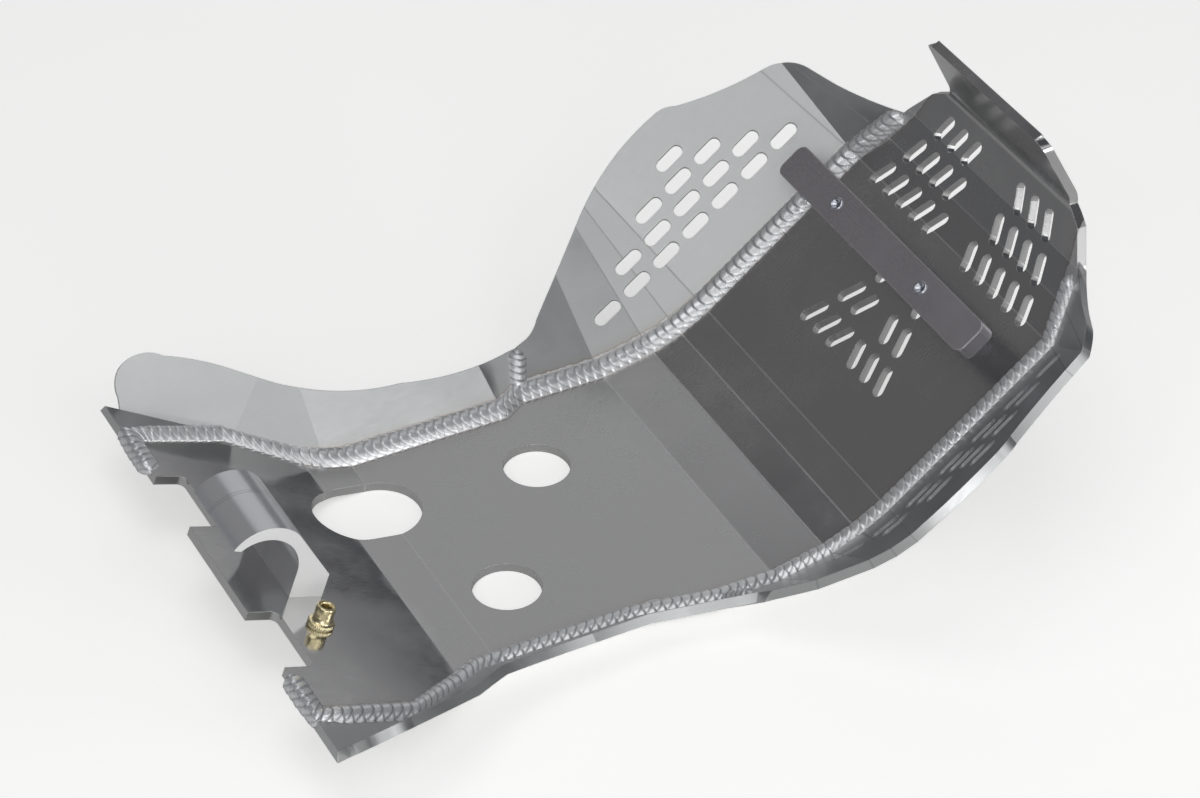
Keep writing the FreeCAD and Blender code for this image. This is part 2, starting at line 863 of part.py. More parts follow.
def rear_view(facets):
    normal = facets[1].outward + facets[2].outward + facets[3].outward
    normal.normalize()
    across = Vector(0, 1, 0) - normal * normal.y
    across.normalize()
    return View(Vector(size("base_half_width"), half_base, thickness), across, normal)


# The rear wing's rim, from its front corner to the turned-out rear corner, in rows as above
REAR_RIM = [
    (-140.0, 33.0),
    (-115.0, 30.9),
    (-74.0, 26.4, -40.0, 29.9),
    (-8.0, 34.9, 24.8, 49.2),
    (46.5, 64.0),
    (60.0, 71.9, 76.0, 78.9),
    (91.0, 83.1, 99.6, 79.3),
    (103.8, 72.5, 104.4, 65.0),
    (105.4, 57.5),
    (105.4, -30.0),
    (-140.0, -30.0),
    (-140.0, 33.0),
]


def build_rear_wing(hand):
    walls = rear_facets(hand)
    fold_start, fold_end = rear_points(hand)[2:]
    flange_corner = tail.at(size("tail_half_width"), size("fold_end"))
    flange = Facet(fold_start, tail.normal * -1, (fold_start + fold_end + flange_corner) * (1.0 / 3))
    pieces = fold(walls + [flange])
    point, normal = joint_plane(hand)
    for index in (0, 1):
        upright = keep_side(pieces[index], walls[index].point, walls[index].rise, walls[index].inside)
        pieces[index] = keep_side(upright, point, normal, Vector(0, half_base, thickness))
    view = rear_view(walls)
    outline = view.prism(view.path(REAR_RIM[0], REAR_RIM[1:]))
    under_heel = box_on_plane(sections["heel"].start, sections["heel"].normal, -WIDE, 0)
    under_tail = box_on_plane(tail.start, tail.normal, -WIDE, 0)
    pieces[2] = pieces[2].cut(under_heel.common(under_tail))
    pieces[2] = pieces[2].cut(under_tail.common(box_on_plane(tail.start, tail.run, 0, WIDE)))
    kept = [piece.common(outline) for piece in pieces[:4]]
    flat_part = keep_side(pieces[4], fold_start, tail.run, fold_end)
    flat_part = keep_side(flat_part, fold_end, tail.run, fold_start)
    flat_part = keep_side(flat_part, tail.at(size("tail_half_width"), 0), X_AXIS, fold_end)
    wing = fuse_all(kept + [flat_part])
    return wing.cut(main_plate.Shape)


def mirror_wing(shape):
    return shape.mirror(Vector(0, 0, 0), X_AXIS)


wings = {}
for name, hand in hands.items():
    for end, build in (("front", build_front_wing), ("rear", build_rear_wing)):
        wing = build(hand)
        if name == "right":
            wing = mirror_wing(wing)
        label = "%s_%s_wing" % (name, end)
        wings[label] = wing.cut(main_plate.Shape)
        feature(label, wings[label])


# Weld beads: a bead is lofted between stations along its seam and lies in the corner of two sheets

CAP_FACETS = 4
RING_SIDES = 10


def bead_section(root, one, crest, two):
    # the cap is an arc through the crest, drawn as a few flats
    cap = Part.Arc(one, crest, two).discretize(CAP_FACETS + 1)
    return Part.makePolygon([root] + cap + [root])


def station(corner, inward, upward, crest):
    # the section in a corner: its toes bite into the two sheets, and its cap lies between them
    middle = (inward + upward).normalize()
    lean = inward.dot(upward)
    into_plate = (inward * lean - upward).normalize()
    into_wing = (upward * lean - inward).normalize()
    leg = size("bead_leg")
    bite = size("bead_bite")
    one = corner + inward * leg + into_plate * bite
    two = corner + upward * leg + into_wing * bite
    return bead_section(corner, one, corner + middle * crest, two)


def flat_station(corner, inward, outward, normal, crest):
    # the same on two sheets that lie level with each other
    sunk = corner - normal * size("bead_bite")
    leg = size("bead_leg")
    root = corner - normal * size("bead_root")
    return bead_section(root, sunk + inward * leg, corner + normal * crest, sunk + outward * leg)


def front_bead(hand):
    inward = X_AXIS * -1
    crest = size("bead_crest")
    facets = front_facets(hand)
    nose = facets[-1]
    top = sections["crown"].start + X_AXIS * size("neck_half_width")
    end = nose.point + (top - nose.point) * 0.9
    wires = [station(end, inward, nose.rise, crest)]
    for index in range(len(facets) - 1, 0, -1):
        line = bend_line(facets[index], facets[index - 1])
        wires.append(station(facets[index].point, inward, line[1], crest))
    side = size("front_half_width")
    last = Vector(side, hand.joint_foot, thickness)
    wires.append(station(last, inward, facets[0].rise, crest))
    return wires


def rear_bead(hand):
    inward = X_AXIS * -1
    crest = size("bead_crest")
    cap = size("bead_cap")
    wall, middle = rear_facets(hand)[1:3]
    turn, _, fold_start, _ = rear_points(hand)
    side = size("base_half_width")
    jog = Vector(side, hand.jog_rear, thickness)
    wires = [station(jog, inward, wall.rise, crest)]
    wires.append(station(Vector(side, half_base, thickness), inward, wall.rise, crest))
    wires.append(station(turn, inward, bend_line(wall, middle)[1], crest))
    bend = tail.at(size("heel_half_width"), 0)
    slant = (fold_start - turn).normalize()
    across = slant.cross(tail.normal).normalize()
    rise = middle.outward.cross(slant)
    if rise.z < 0:
        rise = rise * -1
    wires.append(station(bend, across * (-1 if across.x > 0 else 1), rise, crest))
    tail_side = size("tail_half_width")
    flange_start = tail.at(tail_side, size("tail_flare_end") + size("bead_leg"))
    flange_end = tail.at(tail_side, tail.length - 2 * size("bead_leg"))
    wires.append(flat_station(flange_start, inward, X_AXIS, tail.normal, cap))
    wires.append(flat_station(flange_end, inward, X_AXIS, tail.normal, cap))
    return wires


# The bead round the rear edge: how far its crest, its lower toe and its root lie outwards and upwards
# from the edge, as shares of the bead's leg
WRAP_CREST = (0.35, 0.4)
WRAP_TOE = (0.6, -0.7)
WRAP_ROOT = (-0.3, -0.8)


def wrap_station(side, outward):
    # the section round the rear edge of the tail, from its top face to below its end
    leg = size("bead_leg")
    edge = tail.at(side, tail.length)
    toe = edge - outward * (leg / outward.dot(tail.run)) - tail.normal * size("bead_bite")
    crest, lower_toe, root = [edge + (outward * out + tail.normal * up) * leg
                              for out, up in (WRAP_CREST, WRAP_TOE, WRAP_ROOT)]
    return bead_section(root, toe, crest, lower_toe)


def build_bead(hand, front_wing, rear_wing):
    wires = front_bead(hand) + rear_bead(hand)
    side = size("tail_half_width")
    diagonal = (X_AXIS + tail.run).normalize()
    wires.append(wrap_station(side, diagonal))
    wires.append(wrap_station(side - 2 * size("bead_leg"), tail.run))
    wires.append(wrap_station(size("bead_wrap_side"), tail.run))
    bead = Part.makeLoft(wires, True, True)
    bead = bead.cut(main_plate.Shape).cut(front_wing).cut(rear_wing)
    return max(bead.Solids, key=lambda solid: solid.Volume)


def ring(centre, axis, radius):
    # a polygon round the axis
    turn = Rotation(Vector(0, 0, 1), axis)
    points = []
    for index in range(RING_SIDES + 1):
        angle = 2 * math.pi * index / RING_SIDES
        points.append(centre + turn.multVec(Vector(radius * math.cos(angle), radius * math.sin(angle), 0)))
    return Part.makePolygon(points)


def build_joint_bead(hand, front_wing, rear_wing, bead):
    # stands on the seam bead and closes the seam between the two wings
    lean = math.radians(size("joint_lean"))
    flare = math.radians((hand.rear_flare + hand.front_flare) / 2)
    upright = math.cos(flare)
    rise = Vector(math.sin(flare), -math.sin(lean) * upright, math.cos(lean) * upright)
    foot = Vector(size("front_half_width"), hand.joint_foot, thickness)
    radius = size("joint_bead_radius")
    length = size("joint_bead_length")
    rings = [ring(foot, rise, radius), ring(foot + rise * length, rise, radius)]
    rings.append(ring(foot + rise * (length + radius / 2), rise, radius / 2))
    shape = Part.makeLoft(rings, True, True)
    shape = shape.cut(main_plate.Shape).cut(front_wing).cut(rear_wing).cut(bead)
    return max(shape.Solids, key=lambda solid: solid.Volume)


for name, hand in hands.items():
    front_wing = wings[name + "_front_wing"]
    rear_wing = wings[name + "_rear_wing"]
    if name == "right":
        front_wing = mirror_wing(front_wing)
        rear_wing = mirror_wing(rear_wing)
    bead = build_bead(hand, front_wing, rear_wing)
    joint = build_joint_bead(hand, front_wing, rear_wing, bead)
    if name == "right":
        bead = mirror_wing(bead)
        joint = mirror_wing(joint)
    feature(name + "_weld_bead", bead)
    feature(name + "_joint_weld", joint)


# Hook bracket: an extruded section screwed to the tail from below

def tail_side_offset():
    return Placement(Vector(tail.start.y, tail.start.z, 0), Rotation(Vector(0, 0, 1), tail.slope))


def circle_point(centre, radius, place, above=True):
    reach = math.sqrt(radius * radius - (place - centre.x) ** 2)
    return Vector(place, centre.y + (reach if above else -reach), 0)


def build_hook():
    body = new_body("hook_bracket")
    sketch = new_sketch(body, "HookSection", "YZ_Plane", tail_side_offset())
    outer = Vector(size("hook_outer_place"), size("hook_outer_height"), 0)
    inner = Vector(size("hook_wall") + size("hook_inner_radius"), size("hook_inner_height"), 0)
    front = size("hook_foot_front")
    wall = size("hook_wall")
    shoulder = Vector(front, size("hook_shoulder_height"), 0)
    ramp_top = circle_point(outer, size("hook_outer_radius"), size("hook_ramp_place"))
    crown = outer + Vector(0, size("hook_outer_radius"), 0)
    outer_tip = circle_point(outer, size("hook_outer_radius"), size("hook_outer_tip"))
    inner_tip = circle_point(inner, size("hook_inner_radius"), size("hook_inner_tip"))
    inner_top = inner + Vector(0, size("hook_inner_radius"), 0)
    inner_wall = Vector(wall, inner.y, 0)
    add_wire(sketch, [
        Part.LineSegment(Vector(front, 0, 0), shoulder),
        Part.LineSegment(shoulder, ramp_top),
        Part.Arc(ramp_top, crown, outer_tip),
        Part.LineSegment(outer_tip, inner_tip),
        Part.Arc(inner_tip, inner_top, inner_wall),
        Part.LineSegment(inner_wall, Vector(wall, 0, 0)),
        Part.LineSegment(Vector(wall, 0, 0), Vector(front, 0, 0)),
    ])
    add_pad(body, sketch, "HookLength", cell("hook_width"))
    holes = new_sketch(body, "HookHoles", offset=section_offset(tail))
    foot = (front + wall) / 2
    centres = [Vector(side * size("hook_screw_side"), foot, 0) for side in (1, -1)]
    add_circles(holes, centres, size("hook_screw_diameter"), cell("hook_screw_diameter"))
    add_pocket(body, holes, "HookHoleCut", "2 * %s" % cell("hook_screw_length"))
    return body


def revolved_body(label, points, placement):
    # points give the radius and the height of the half section
    body = new_body(label)
    sketch = new_sketch(body, label + "Section", "XZ_Plane")
    add_polygon(sketch, [Vector(radius, height, 0) for radius, height in points])
    turn = body.newObject("PartDesign::Revolution", label + "Turned")
    turn.Profile = sketch
    turn.ReferenceAxis = (sketch, ["V_Axis"])
    turn.Angle = 360
    doc.recompute()
    body.Placement = placement
    return body


def paired(label, body):
    # the same piece on both sides of the middle plane, kept as two solids of one node
    other = doc.addObject("Part::Mirroring", label + "_right")
    other.Source = body
    other.Normal = X_AXIS
    both = doc.addObject("Part::Compound", label)
    both.Label = label
    both.Links = [body, other]
    doc.recompute()
    return both


def on_section(section, side, place, height=0.0):
    sign = -1.0 if section.run.y < 0 else 1.0
    return Placement(section.at(side, place, height), Rotation(X_AXIS, sign * section.slope))


def build_hook_screws():
    shank = size("hook_screw_diameter") / 2
    head = size("hook_screw_head") / 2
    foot = (size("hook_foot_front") + size("hook_wall")) / 2
    low = -thickness
    seat = low + size("hook_screw_head_height")
    top = size("hook_screw_length") - thickness
    points = [(0, low), (head, low), (head, seat), (shank, seat), (shank, top), (0, top)]
    screw = revolved_body("hook_screw", points, on_section(tail, size("hook_screw_side"), foot))
    return paired("hook_screws", screw)


def build_insert():
    body_radius = size("insert_diameter") / 2
    collar = size("insert_collar_diameter") / 2
    spigot = size("insert_spigot_diameter") / 2
    bore = size("insert_bore") / 2
    low = -thickness
    rise = size("insert_collar_height")
    top = size("insert_height")
    points = [
        (bore, low), (spigot, low), (spigot, 0), (collar, 0), (collar, rise), (body_radius, rise),
        (body_radius, top), (bore, top),
    ]
    place = on_section(tail, -size("insert_side"), size("insert_place"))
    return revolved_body("brass_insert", points, place)


# Clamp bar, its bolts and nuts over the front ramp

def build_bar():
    body = new_body("clamp_bar")
    sketch = new_sketch(body, "BarOutline")
    half = size("bar_half_length")
    wide = size("bar_width") / 2
    radius = size("bar_corner_radius")
    bow = radius * QUARTER_BOW
    edges = []
    for sx, sy in ((1, -1), (1, 1), (-1, 1), (-1, -1)):
        middle = Vector(sx * (half - bow), sy * (wide - bow), 0)
        on_long_side = Vector(sx * (half - radius), sy * wide, 0)
        on_short_side = Vector(sx * half, sy * (wide - radius), 0)
        ends = [on_long_side, on_short_side] if sx * sy < 0 else [on_short_side, on_long_side]
        edges.append(Part.Arc(ends[0], middle, ends[1]))
    wire = []
    for index, arc in enumerate(edges):
        following = edges[(index + 1) % 4]
        wire += [arc, Part.LineSegment(arc.EndPoint, following.StartPoint)]
    add_wire(sketch, wire)
    add_pad(body, sketch, "BarThickness", cell("bar_thickness"), False)
    holes = new_sketch(body, "BarHoles")
    centres = [Vector(side * size("bolt_side"), 0, 0) for side in (1, -1)]
    add_circles(holes, centres, size("bolt_diameter"), cell("bolt_diameter"))
    add_pocket(body, holes, "BarHoleCut", "4 * %s" % cell("bar_thickness"))
    body.Placement = on_section(ramp, 0, size("bar_place"), size("bar_gap"))
    return body


def hexagon(width):
    radius = width / math.sqrt(3)
    angles = [math.pi / 3 * index for index in range(6)]
    return [Vector(radius * math.cos(angle), radius * math.sin(angle), 0) for angle in angles]


def build_clamp_bolts():
    radius = size("bolt_diameter") / 2
    top = size("bar_gap") + size("bar_thickness")
    low = -thickness
    points = [(0, low), (radius, low), (radius, top), (0, top)]
    body = revolved_body("clamp_bolt", points, on_section(ramp, size("bolt_side"), size("bar_place")))
    below = Placement(Vector(0, 0, low - size("bolt_head_height")), Rotation())
    head = new_sketch(body, "BoltHead", offset=below)
    add_polygon(head, hexagon(size("bolt_head_width")))
    add_pad(body, head, "BoltHeadPad", cell("bolt_head_height"), False)
    return paired("clamp_bolts", body)


def build_clamp_nuts():
    body = new_body("clamp_nut")
    sketch = new_sketch(body, "NutOutline")
    add_polygon(sketch, hexagon(size("nut_width")))
    add_pad(body, sketch, "NutPad", cell("nut_height"), False)
    bore = new_sketch(body, "NutBore")
    add_circles(bore, [Vector(0, 0, 0)], size("bolt_diameter"), cell("bolt_diameter"))
    add_pocket(body, bore, "NutBoreCut", "4 * %s" % cell("nut_height"))
    body.Placement = on_section(ramp, size("bolt_side"), size("bar_place"))
    return paired("clamp_nuts", body)


build_hook()
build_hook_screws()
build_insert()
build_bar()
build_clamp_bolts()
build_clamp_nuts()
doc.recompute()

# Check every object and write one file for each node

NODES = [
    "main_plate", "left_front_wing", "right_front_wing", "left_rear_wing", "right_rear_wing",
    "left_weld_bead", "right_weld_bead", "left_joint_weld", "right_joint_weld",
    "hook_bracket", "hook_screws", "brass_insert", "clamp_bar", "clamp_bolts", "clamp_nuts",
]

for item in doc.Objects:
    if "Invalid" in item.State or "Error" in item.State:
        raise RuntimeError(item.Label + " failed")

for node in NODES:
    item = doc.getObjectsByLabel(node)[0]
    shape = item.Shape
    if shape.isNull() or not shape.isValid():
        raise RuntimeError(node + " has no valid shape")
    print("%-18s %2d solids %10.0f mm3" % (node, len(shape.Solids), shape.Volume))
    shape.exportStep("parts/%s.step" % node)
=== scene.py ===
# %% [markdown]
# A motorcycle skid plate is a folded aluminium tray that bolts under the engine. Its measured solids
# could be drawn again from nothing, or dressed as they are. This lesson dresses them, because their
# shape is already right: the sheets get a metal finish, and only the weld beads, the insert and the
# bolts are made again, with the ripples, teeth and threads that the solids leave out. The solids come
# first, because every piece that follows is placed by their coordinates.

# %% Load the measured solids
import math
import random
from bisect import bisect_right

import bpy
from mathutils import Matrix, Quaternion, Vector


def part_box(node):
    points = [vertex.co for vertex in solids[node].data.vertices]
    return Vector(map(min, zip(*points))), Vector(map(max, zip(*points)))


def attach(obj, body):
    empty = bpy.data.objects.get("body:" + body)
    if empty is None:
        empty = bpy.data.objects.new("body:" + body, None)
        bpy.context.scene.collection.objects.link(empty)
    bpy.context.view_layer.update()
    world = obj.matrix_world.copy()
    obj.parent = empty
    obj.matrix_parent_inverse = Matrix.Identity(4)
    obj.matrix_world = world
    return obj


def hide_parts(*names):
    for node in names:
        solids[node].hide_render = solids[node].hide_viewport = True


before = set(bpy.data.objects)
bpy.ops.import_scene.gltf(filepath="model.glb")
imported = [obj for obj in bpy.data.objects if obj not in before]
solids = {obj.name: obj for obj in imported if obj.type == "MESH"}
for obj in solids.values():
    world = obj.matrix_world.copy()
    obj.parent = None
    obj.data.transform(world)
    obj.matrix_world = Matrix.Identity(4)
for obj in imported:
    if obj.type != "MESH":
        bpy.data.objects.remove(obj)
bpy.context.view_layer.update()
scene = bpy.context.scene
MM = 0.001
print("solids:", len(solids))

# %% [markdown]
# The camera stands where the photograph was taken: to the right of the plate, behind it and above.
# It could be aimed at a target by eye, but then the picture would only nearly match. Its place and
# its three axes are typed in instead, and a long lens keeps the perspective as flat as it was.

# %% Camera
CAMERA_PLACE = Vector((-1272.2, 667.2, 1201.0)) * MM
CAMERA_RIGHT = Vector((-0.466523584, -0.884347562, 0.016885929))
CAMERA_DOWN = Vector((-0.550328207, 0.275265571, -0.788268818))
CAMERA_AHEAD = Vector((0.692455493, -0.377038797, -0.61509929))
SENSOR_WIDTH = 36.0
FOCAL_PIXELS = 3632.6
IMAGE_WIDTH = 1200

camera_data = bpy.data.cameras.new("camera")
camera_data.sensor_width = SENSOR_WIDTH
camera_data.lens = SENSOR_WIDTH * FOCAL_PIXELS / IMAGE_WIDTH
camera = bpy.data.objects.new("camera", camera_data)
scene.collection.objects.link(camera)
turn = Matrix((CAMERA_RIGHT, -CAMERA_DOWN, -CAMERA_AHEAD)).transposed()
camera.matrix_world = Matrix.Translation(CAMERA_PLACE) @ turn.to_4x4()
scene.camera = camera
print("lens:", round(camera_data.lens, 2), "mm")

# %% [markdown]
# Finishes, floor and room are all trees of nodes. They could be wired one link at a time, but that
# makes a long lesson. So one helper makes a node and fills its sockets: a number or a colour is typed
# in, and another node's output is wired. A second helper does sums, which most masks are made of.

# %% Helpers for nodes


def node(tree, kind, inputs=None, **settings):
    made = tree.nodes.new(kind)
    for name, value in settings.items():
        setattr(made, name, value)
    for socket, value in (inputs or {}).items():
        if isinstance(value, bpy.types.NodeSocket):
            tree.links.new(value, made.inputs[socket])
        else:
            made.inputs[socket].default_value = value
    return made


def combine(tree, operation, *values):
    return node(tree, "ShaderNodeMath", dict(enumerate(values)), operation=operation).outputs[0]


print("helpers:", node.__name__, combine.__name__)

# %% [markdown]
# The plate lies on a plain pale floor. A bright floor could be lit by more lamps, but those would
# wash out the metal. So its paper is diffuse, which keeps the plate's shadow, and a glow that only
# the camera sees brings it up to a pale grey.

# %% Studio floor
FLOOR_SIZE = 12.0
FLOOR_COLOUR = (0.80, 0.80, 0.79, 1.0)
FLOOR_GLOW = 0.64

scene.view_settings.view_transform = "Standard"
half = FLOOR_SIZE / 2
corners = [(-half, -half, 0), (half, -half, 0), (half, half, 0), (-half, half, 0)]
floor_mesh = bpy.data.meshes.new("floor")
floor_mesh.from_pydata(corners, [], [(0, 1, 2, 3)])
floor = bpy.data.objects.new("floor", floor_mesh)
scene.collection.objects.link(floor)

paper = bpy.data.materials.new("studio floor")
paper.use_nodes = True
tree = paper.node_tree
tree.nodes.clear()
rays = node(tree, "ShaderNodeLightPath")
strength = combine(tree, "MULTIPLY", rays.outputs["Is Camera Ray"], FLOOR_GLOW)
matt = node(tree, "ShaderNodeBsdfDiffuse", {"Color": FLOOR_COLOUR})
glow = node(tree, "ShaderNodeEmission", {"Color": FLOOR_COLOUR, "Strength": strength})
both = node(tree, "ShaderNodeAddShader", {0: matt.outputs[0], 1: glow.outputs[0]})
node(tree, "ShaderNodeOutputMaterial", {"Surface": both.outputs[0]})
floor_mesh.materials.append(paper)
print("floor:", FLOOR_SIZE, "m")

# %% [markdown]
# Behind the floor the camera sees a pale room. The same pale room in the metal would make every
# strip alike, and the photograph has dark strips beside bright ones. So the room has two colours: a
# pale one for the camera, and a dim one for the light that falls on the plate and for its mirrors.

# %% Room
ROOM_SEEN = (0.80, 0.80, 0.80, 1.0)
ROOM_LIGHT = (0.085, 0.087, 0.095, 1.0)

room = bpy.data.worlds.new("studio")
room.use_nodes = True
scene.world = room
tree = room.node_tree
tree.nodes.clear()
rays = node(tree, "ShaderNodeLightPath")
dim = node(tree, "ShaderNodeBackground", {"Color": ROOM_LIGHT})
pale = node(tree, "ShaderNodeBackground", {"Color": ROOM_SEEN})
choice = node(tree, "ShaderNodeMixShader",
              {0: rays.outputs["Is Camera Ray"], 1: dim.outputs[0], 2: pale.outputs[0]})
node(tree, "ShaderNodeOutputWorld", {"Surface": choice.outputs[0]})
print("room:", room.name)

# %% [markdown]
# Bare metal has hardly any colour of its own: each flat strip mirrors one patch of the room. One
# large soft box would light them all alike, so there is a panel for each group of strips. It stands
# where the camera sees it mirrored there, and its brightness is how pale those strips look. The base
# panel is rolled a little, so that its lower edge draws the slanting dark border across the tail.

# %% Studio lights
WHITE = (1.0, 1.0, 1.0)
WARM = (1.0, 0.93, 0.86)
TARGET = Vector((0.0, -0.03, 0.05))
LAMPS = (
    # name, direction from the plate, roll, distance, width, height, brightness, colour
    ("wing panel", (-0.63, 0.28, 0.70), 0.0, 2.3, 3.0, 1.5, 0.66, WHITE),
    ("rear wing panel", (-0.69, -0.33, 0.60), 0.0, 2.1, 1.2, 0.9, 0.74, WHITE),
    ("side panel", (-0.93, 0.28, 0.20), 0.0, 2.2, 1.6, 0.6, 3.0, WHITE),
    ("end panel", (-0.84, -0.52, 0.10), 0.0, 2.2, 1.2, 0.8, 5.5, WHITE),
    ("base panel", (0.714, -0.380, 0.588), -15.8, 2.4, 1.75, 1.59, 0.335, WHITE),
    ("ramp panel", (0.67, 0.40, 0.60), 0.0, 2.4, 1.7, 1.1, 0.065, WARM),
    ("nose panel", (0.67, 0.73, 0.15), 0.0, 2.4, 1.4, 0.9, 0.06, WHITE),
    ("top lamp", (0.05, 0.10, 1.0), 0.0, 2.4, 1.6, 1.6, 1.30, WHITE),
    ("strip", (-0.25, 0.75, 0.60), 0.0, 2.2, 1.4, 0.12, 4.0, WHITE),
)

for name, direction, roll, distance, width, height, brightness, colour in LAMPS:
    data = bpy.data.lights.new(name, "AREA")
    data.shape = "RECTANGLE"
    data.size = width
    data.size_y = height
    data.color = colour
    # with this power the panel looks as bright as a white sheet lit to that brightness
    data.energy = brightness * math.pi * width * height
    lamp = bpy.data.objects.new(name, data)
    scene.collection.objects.link(lamp)
    heading = Vector(direction).normalized()
    rolled = Quaternion((0, 0, 1), math.radians(roll))
    lamp.location = TARGET + heading * distance
    lamp.rotation_euler = (heading.to_track_quat("Z", "Y") @ rolled).to_euler()
print("lamps:", [row[0] for row in LAMPS])

# %% [markdown]
# Seen from the side, the plate is a chain of flat strips, each with a length and a slope. The places
# of seams, bends and bolts could be typed in one by one, but they would soon disagree. They are worked
# out along this chain instead, in millimetres, with the same sizes as the solids.

# %% The folded plate's strips
THICKNESS = 5.0
HALF_BASE = 76.5
X_AXIS = Vector((1, 0, 0))
Z_AXIS = Vector((0, 0, 1))
# strip, length, slope in degrees
FORWARD = (("toe", 30.9, 12.3), ("instep", 18.6, 22.35), ("throat", 18.9, 31.4), ("ramp", 115.9, 38.8),
           ("brow", 19.3, 48.5), ("neck", 18.95, 57.0), ("crown", 24.9, 66.5), ("lip", 43.5, 118.7))
REARWARD = (("heel", 23.9, 9.7), ("tail", 90.2, 19.44))


class Strip:
    def __init__(self, start, length, slope, heading):
        angle = math.radians(slope)
        self.start = start
        self.length = length
        self.run = Vector((0, heading * math.cos(angle), math.sin(angle)))
        self.normal = Vector((0, -heading * math.sin(angle), math.cos(angle)))
        self.end = start + self.run * length

    def at(self, side, place):
        # a point of the strip: side is measured across the plate, place along the strip
        return self.start + self.run * place + X_AXIS * side


strips = {}
for rows, heading in ((FORWARD, -1), (REARWARD, 1)):
    point = Vector((0, heading * HALF_BASE, THICKNESS))
    for name, length, slope in rows:
        strips[name] = Strip(point, length, slope, heading)
        point = strips[name].end
tail = strips["tail"]
ramp = strips["ramp"]
print("lip ends at", [round(value, 1) for value in strips["lip"].end])

# %% [markdown]
# Most finishes share a few effects. An effect could be wired again in every material, but then a
# change has to be made everywhere. So each one is a node group: built once, then placed in any
# material with its own numbers. Its first node gives what the material sends in.

# %% Node groups for shared effects
FLOAT = "NodeSocketFloat"
VECTOR = "NodeSocketVector"


def start_group(name, inputs, outputs):
    tree = bpy.data.node_groups.new(name, "ShaderNodeTree")
    for way, sockets in (("INPUT", inputs), ("OUTPUT", outputs)):
        for title, kind in sockets.items():
            tree.interface.new_socket(name=title, in_out=way, socket_type=kind)
    return tree, node(tree, "NodeGroupInput").outputs


def grade(tree, source, start, end, low=0.0, high=1.0, kind="SMOOTHSTEP"):
    # turns a value that goes from start to end into one that goes from low to high
    limits = {"Value": source, "From Min": start, "From Max": end, "To Min": low, "To Max": high}
    return node(tree, "ShaderNodeMapRange", limits, interpolation_type=kind).outputs["Result"]


print("helpers:", start_group.__name__, grade.__name__)

# %% [markdown]
# Sheet metal leaves the mill with fine streaks along one direction, and cloudy patches where it was
# handled. A picture of such metal would show its tiles, so both come from noise: one noise is
# stretched along the rolling direction, the other is coarse and even.

# %% Shared effect: rolled grain
# a noise's scale is about how many of its lumps fit in a metre
STREAK_DETAIL = 3.0
PATCH_SCALE = 22.0
PATCH_DETAIL = 4.0
PATCH_ROUGHNESS = 0.6

grain_group, given = start_group(
    "rolled grain", {"Stretch": VECTOR, "Fineness": FLOAT}, {"Streaks": FLOAT, "Patches": FLOAT})
place = node(grain_group, "ShaderNodeTexCoord").outputs["Object"]
stretched = node(grain_group, "ShaderNodeVectorMath", {0: place, 1: given["Stretch"]},
                 operation="MULTIPLY").outputs[0]
streaks = node(grain_group, "ShaderNodeTexNoise",
               {"Vector": stretched, "Scale": given["Fineness"], "Detail": STREAK_DETAIL})
patches = node(grain_group, "ShaderNodeTexNoise",
               {"Vector": place, "Scale": PATCH_SCALE, "Detail": PATCH_DETAIL,
                "Roughness": PATCH_ROUGHNESS})
node(grain_group, "NodeGroupOutput",
     {"Streaks": streaks.outputs["Fac"], "Patches": patches.outputs["Fac"]})
print("group:", grain_group.name)

# %% [markdown]
# No real edge is perfectly sharp. Every edge could be rounded in the mesh, but that costs many faces
# for a highlight half a millimetre wide. A bevel node turns the normal near each edge instead, and
# how far the turned normal leaves the flat one is a mask of the edges, where handling wears them and
# where the finishes also paint a pale highlight.

# %% Shared effect: broken edges
EDGE_RADIUS = 0.45 * MM
BEVEL_SAMPLES = 4
# how well the turned normal agrees with the flat one: where the wear and the painted highlight
# start, and where they are full
WEAR_AND_HIGHLIGHT_STARTS = 0.995
WEAR_AND_HIGHLIGHT_FULL = 0.80

edge_group, given = start_group("broken edges", {"Radius": FLOAT}, {"Normal": VECTOR, "Edge": FLOAT})
turned = node(edge_group, "ShaderNodeBevel", {"Radius": given["Radius"]},
              samples=BEVEL_SAMPLES).outputs["Normal"]
flat = node(edge_group, "ShaderNodeNewGeometry").outputs["Normal"]
agreement = node(edge_group, "ShaderNodeVectorMath", {0: turned, 1: flat}, operation="DOT_PRODUCT")
# the mask of the worn edges, where the finishes also paint a pale highlight
wear_and_highlight = grade(edge_group, agreement.outputs["Value"], WEAR_AND_HIGHLIGHT_STARTS, WEAR_AND_HIGHLIGHT_FULL, kind="LINEAR")
node(edge_group, "NodeGroupOutput", {"Normal": turned, "Edge": wear_and_highlight})
print("group:", edge_group.name)

# %% [markdown]
# The wings are welded to the plate along one seam on each side. It follows the front strips, steps
# inwards on the base, which is its jog, and turns outwards along the tail. The heat marks and the
# beads both follow it, and they could each have their own list of points, but one list, from nose to
# rear, keeps the marks beside the bead.

# %% The seam's line
FRONT_SIDE = 96.5
REAR_SIDE = 88.5
NOSE_SIDE = 81.0
TAIL_SIDE = 96.7
FLANGE_SIDE = 118.0
FLANGE_START = 33.0
# where the jog ends and starts along the base: 1 is the left side, -1 the right one
JOG = {1: (-14.5, -27.5), -1: (2.0, -43.0)}
SEAM_BENDS = [Vector((FRONT_SIDE, strips[name].start.y, strips[name].start.z))
              for name in ("ramp", "throat", "instep", "toe")]
SEAM_FRONT = Vector((FRONT_SIDE, ramp.end.y, ramp.end.z))
SEAM_NOSE = Vector((NOSE_SIDE, strips["crown"].start.y, strips["crown"].start.z))
# halfway along the heel the seam turns outwards
SEAM_TURN = Vector((90.3, 88.2, 7.0))
SEAM_TAIL = tail.at(TAIL_SIDE, 0)
SEAM_FLANGE = tail.at(FLANGE_SIDE, FLANGE_START)


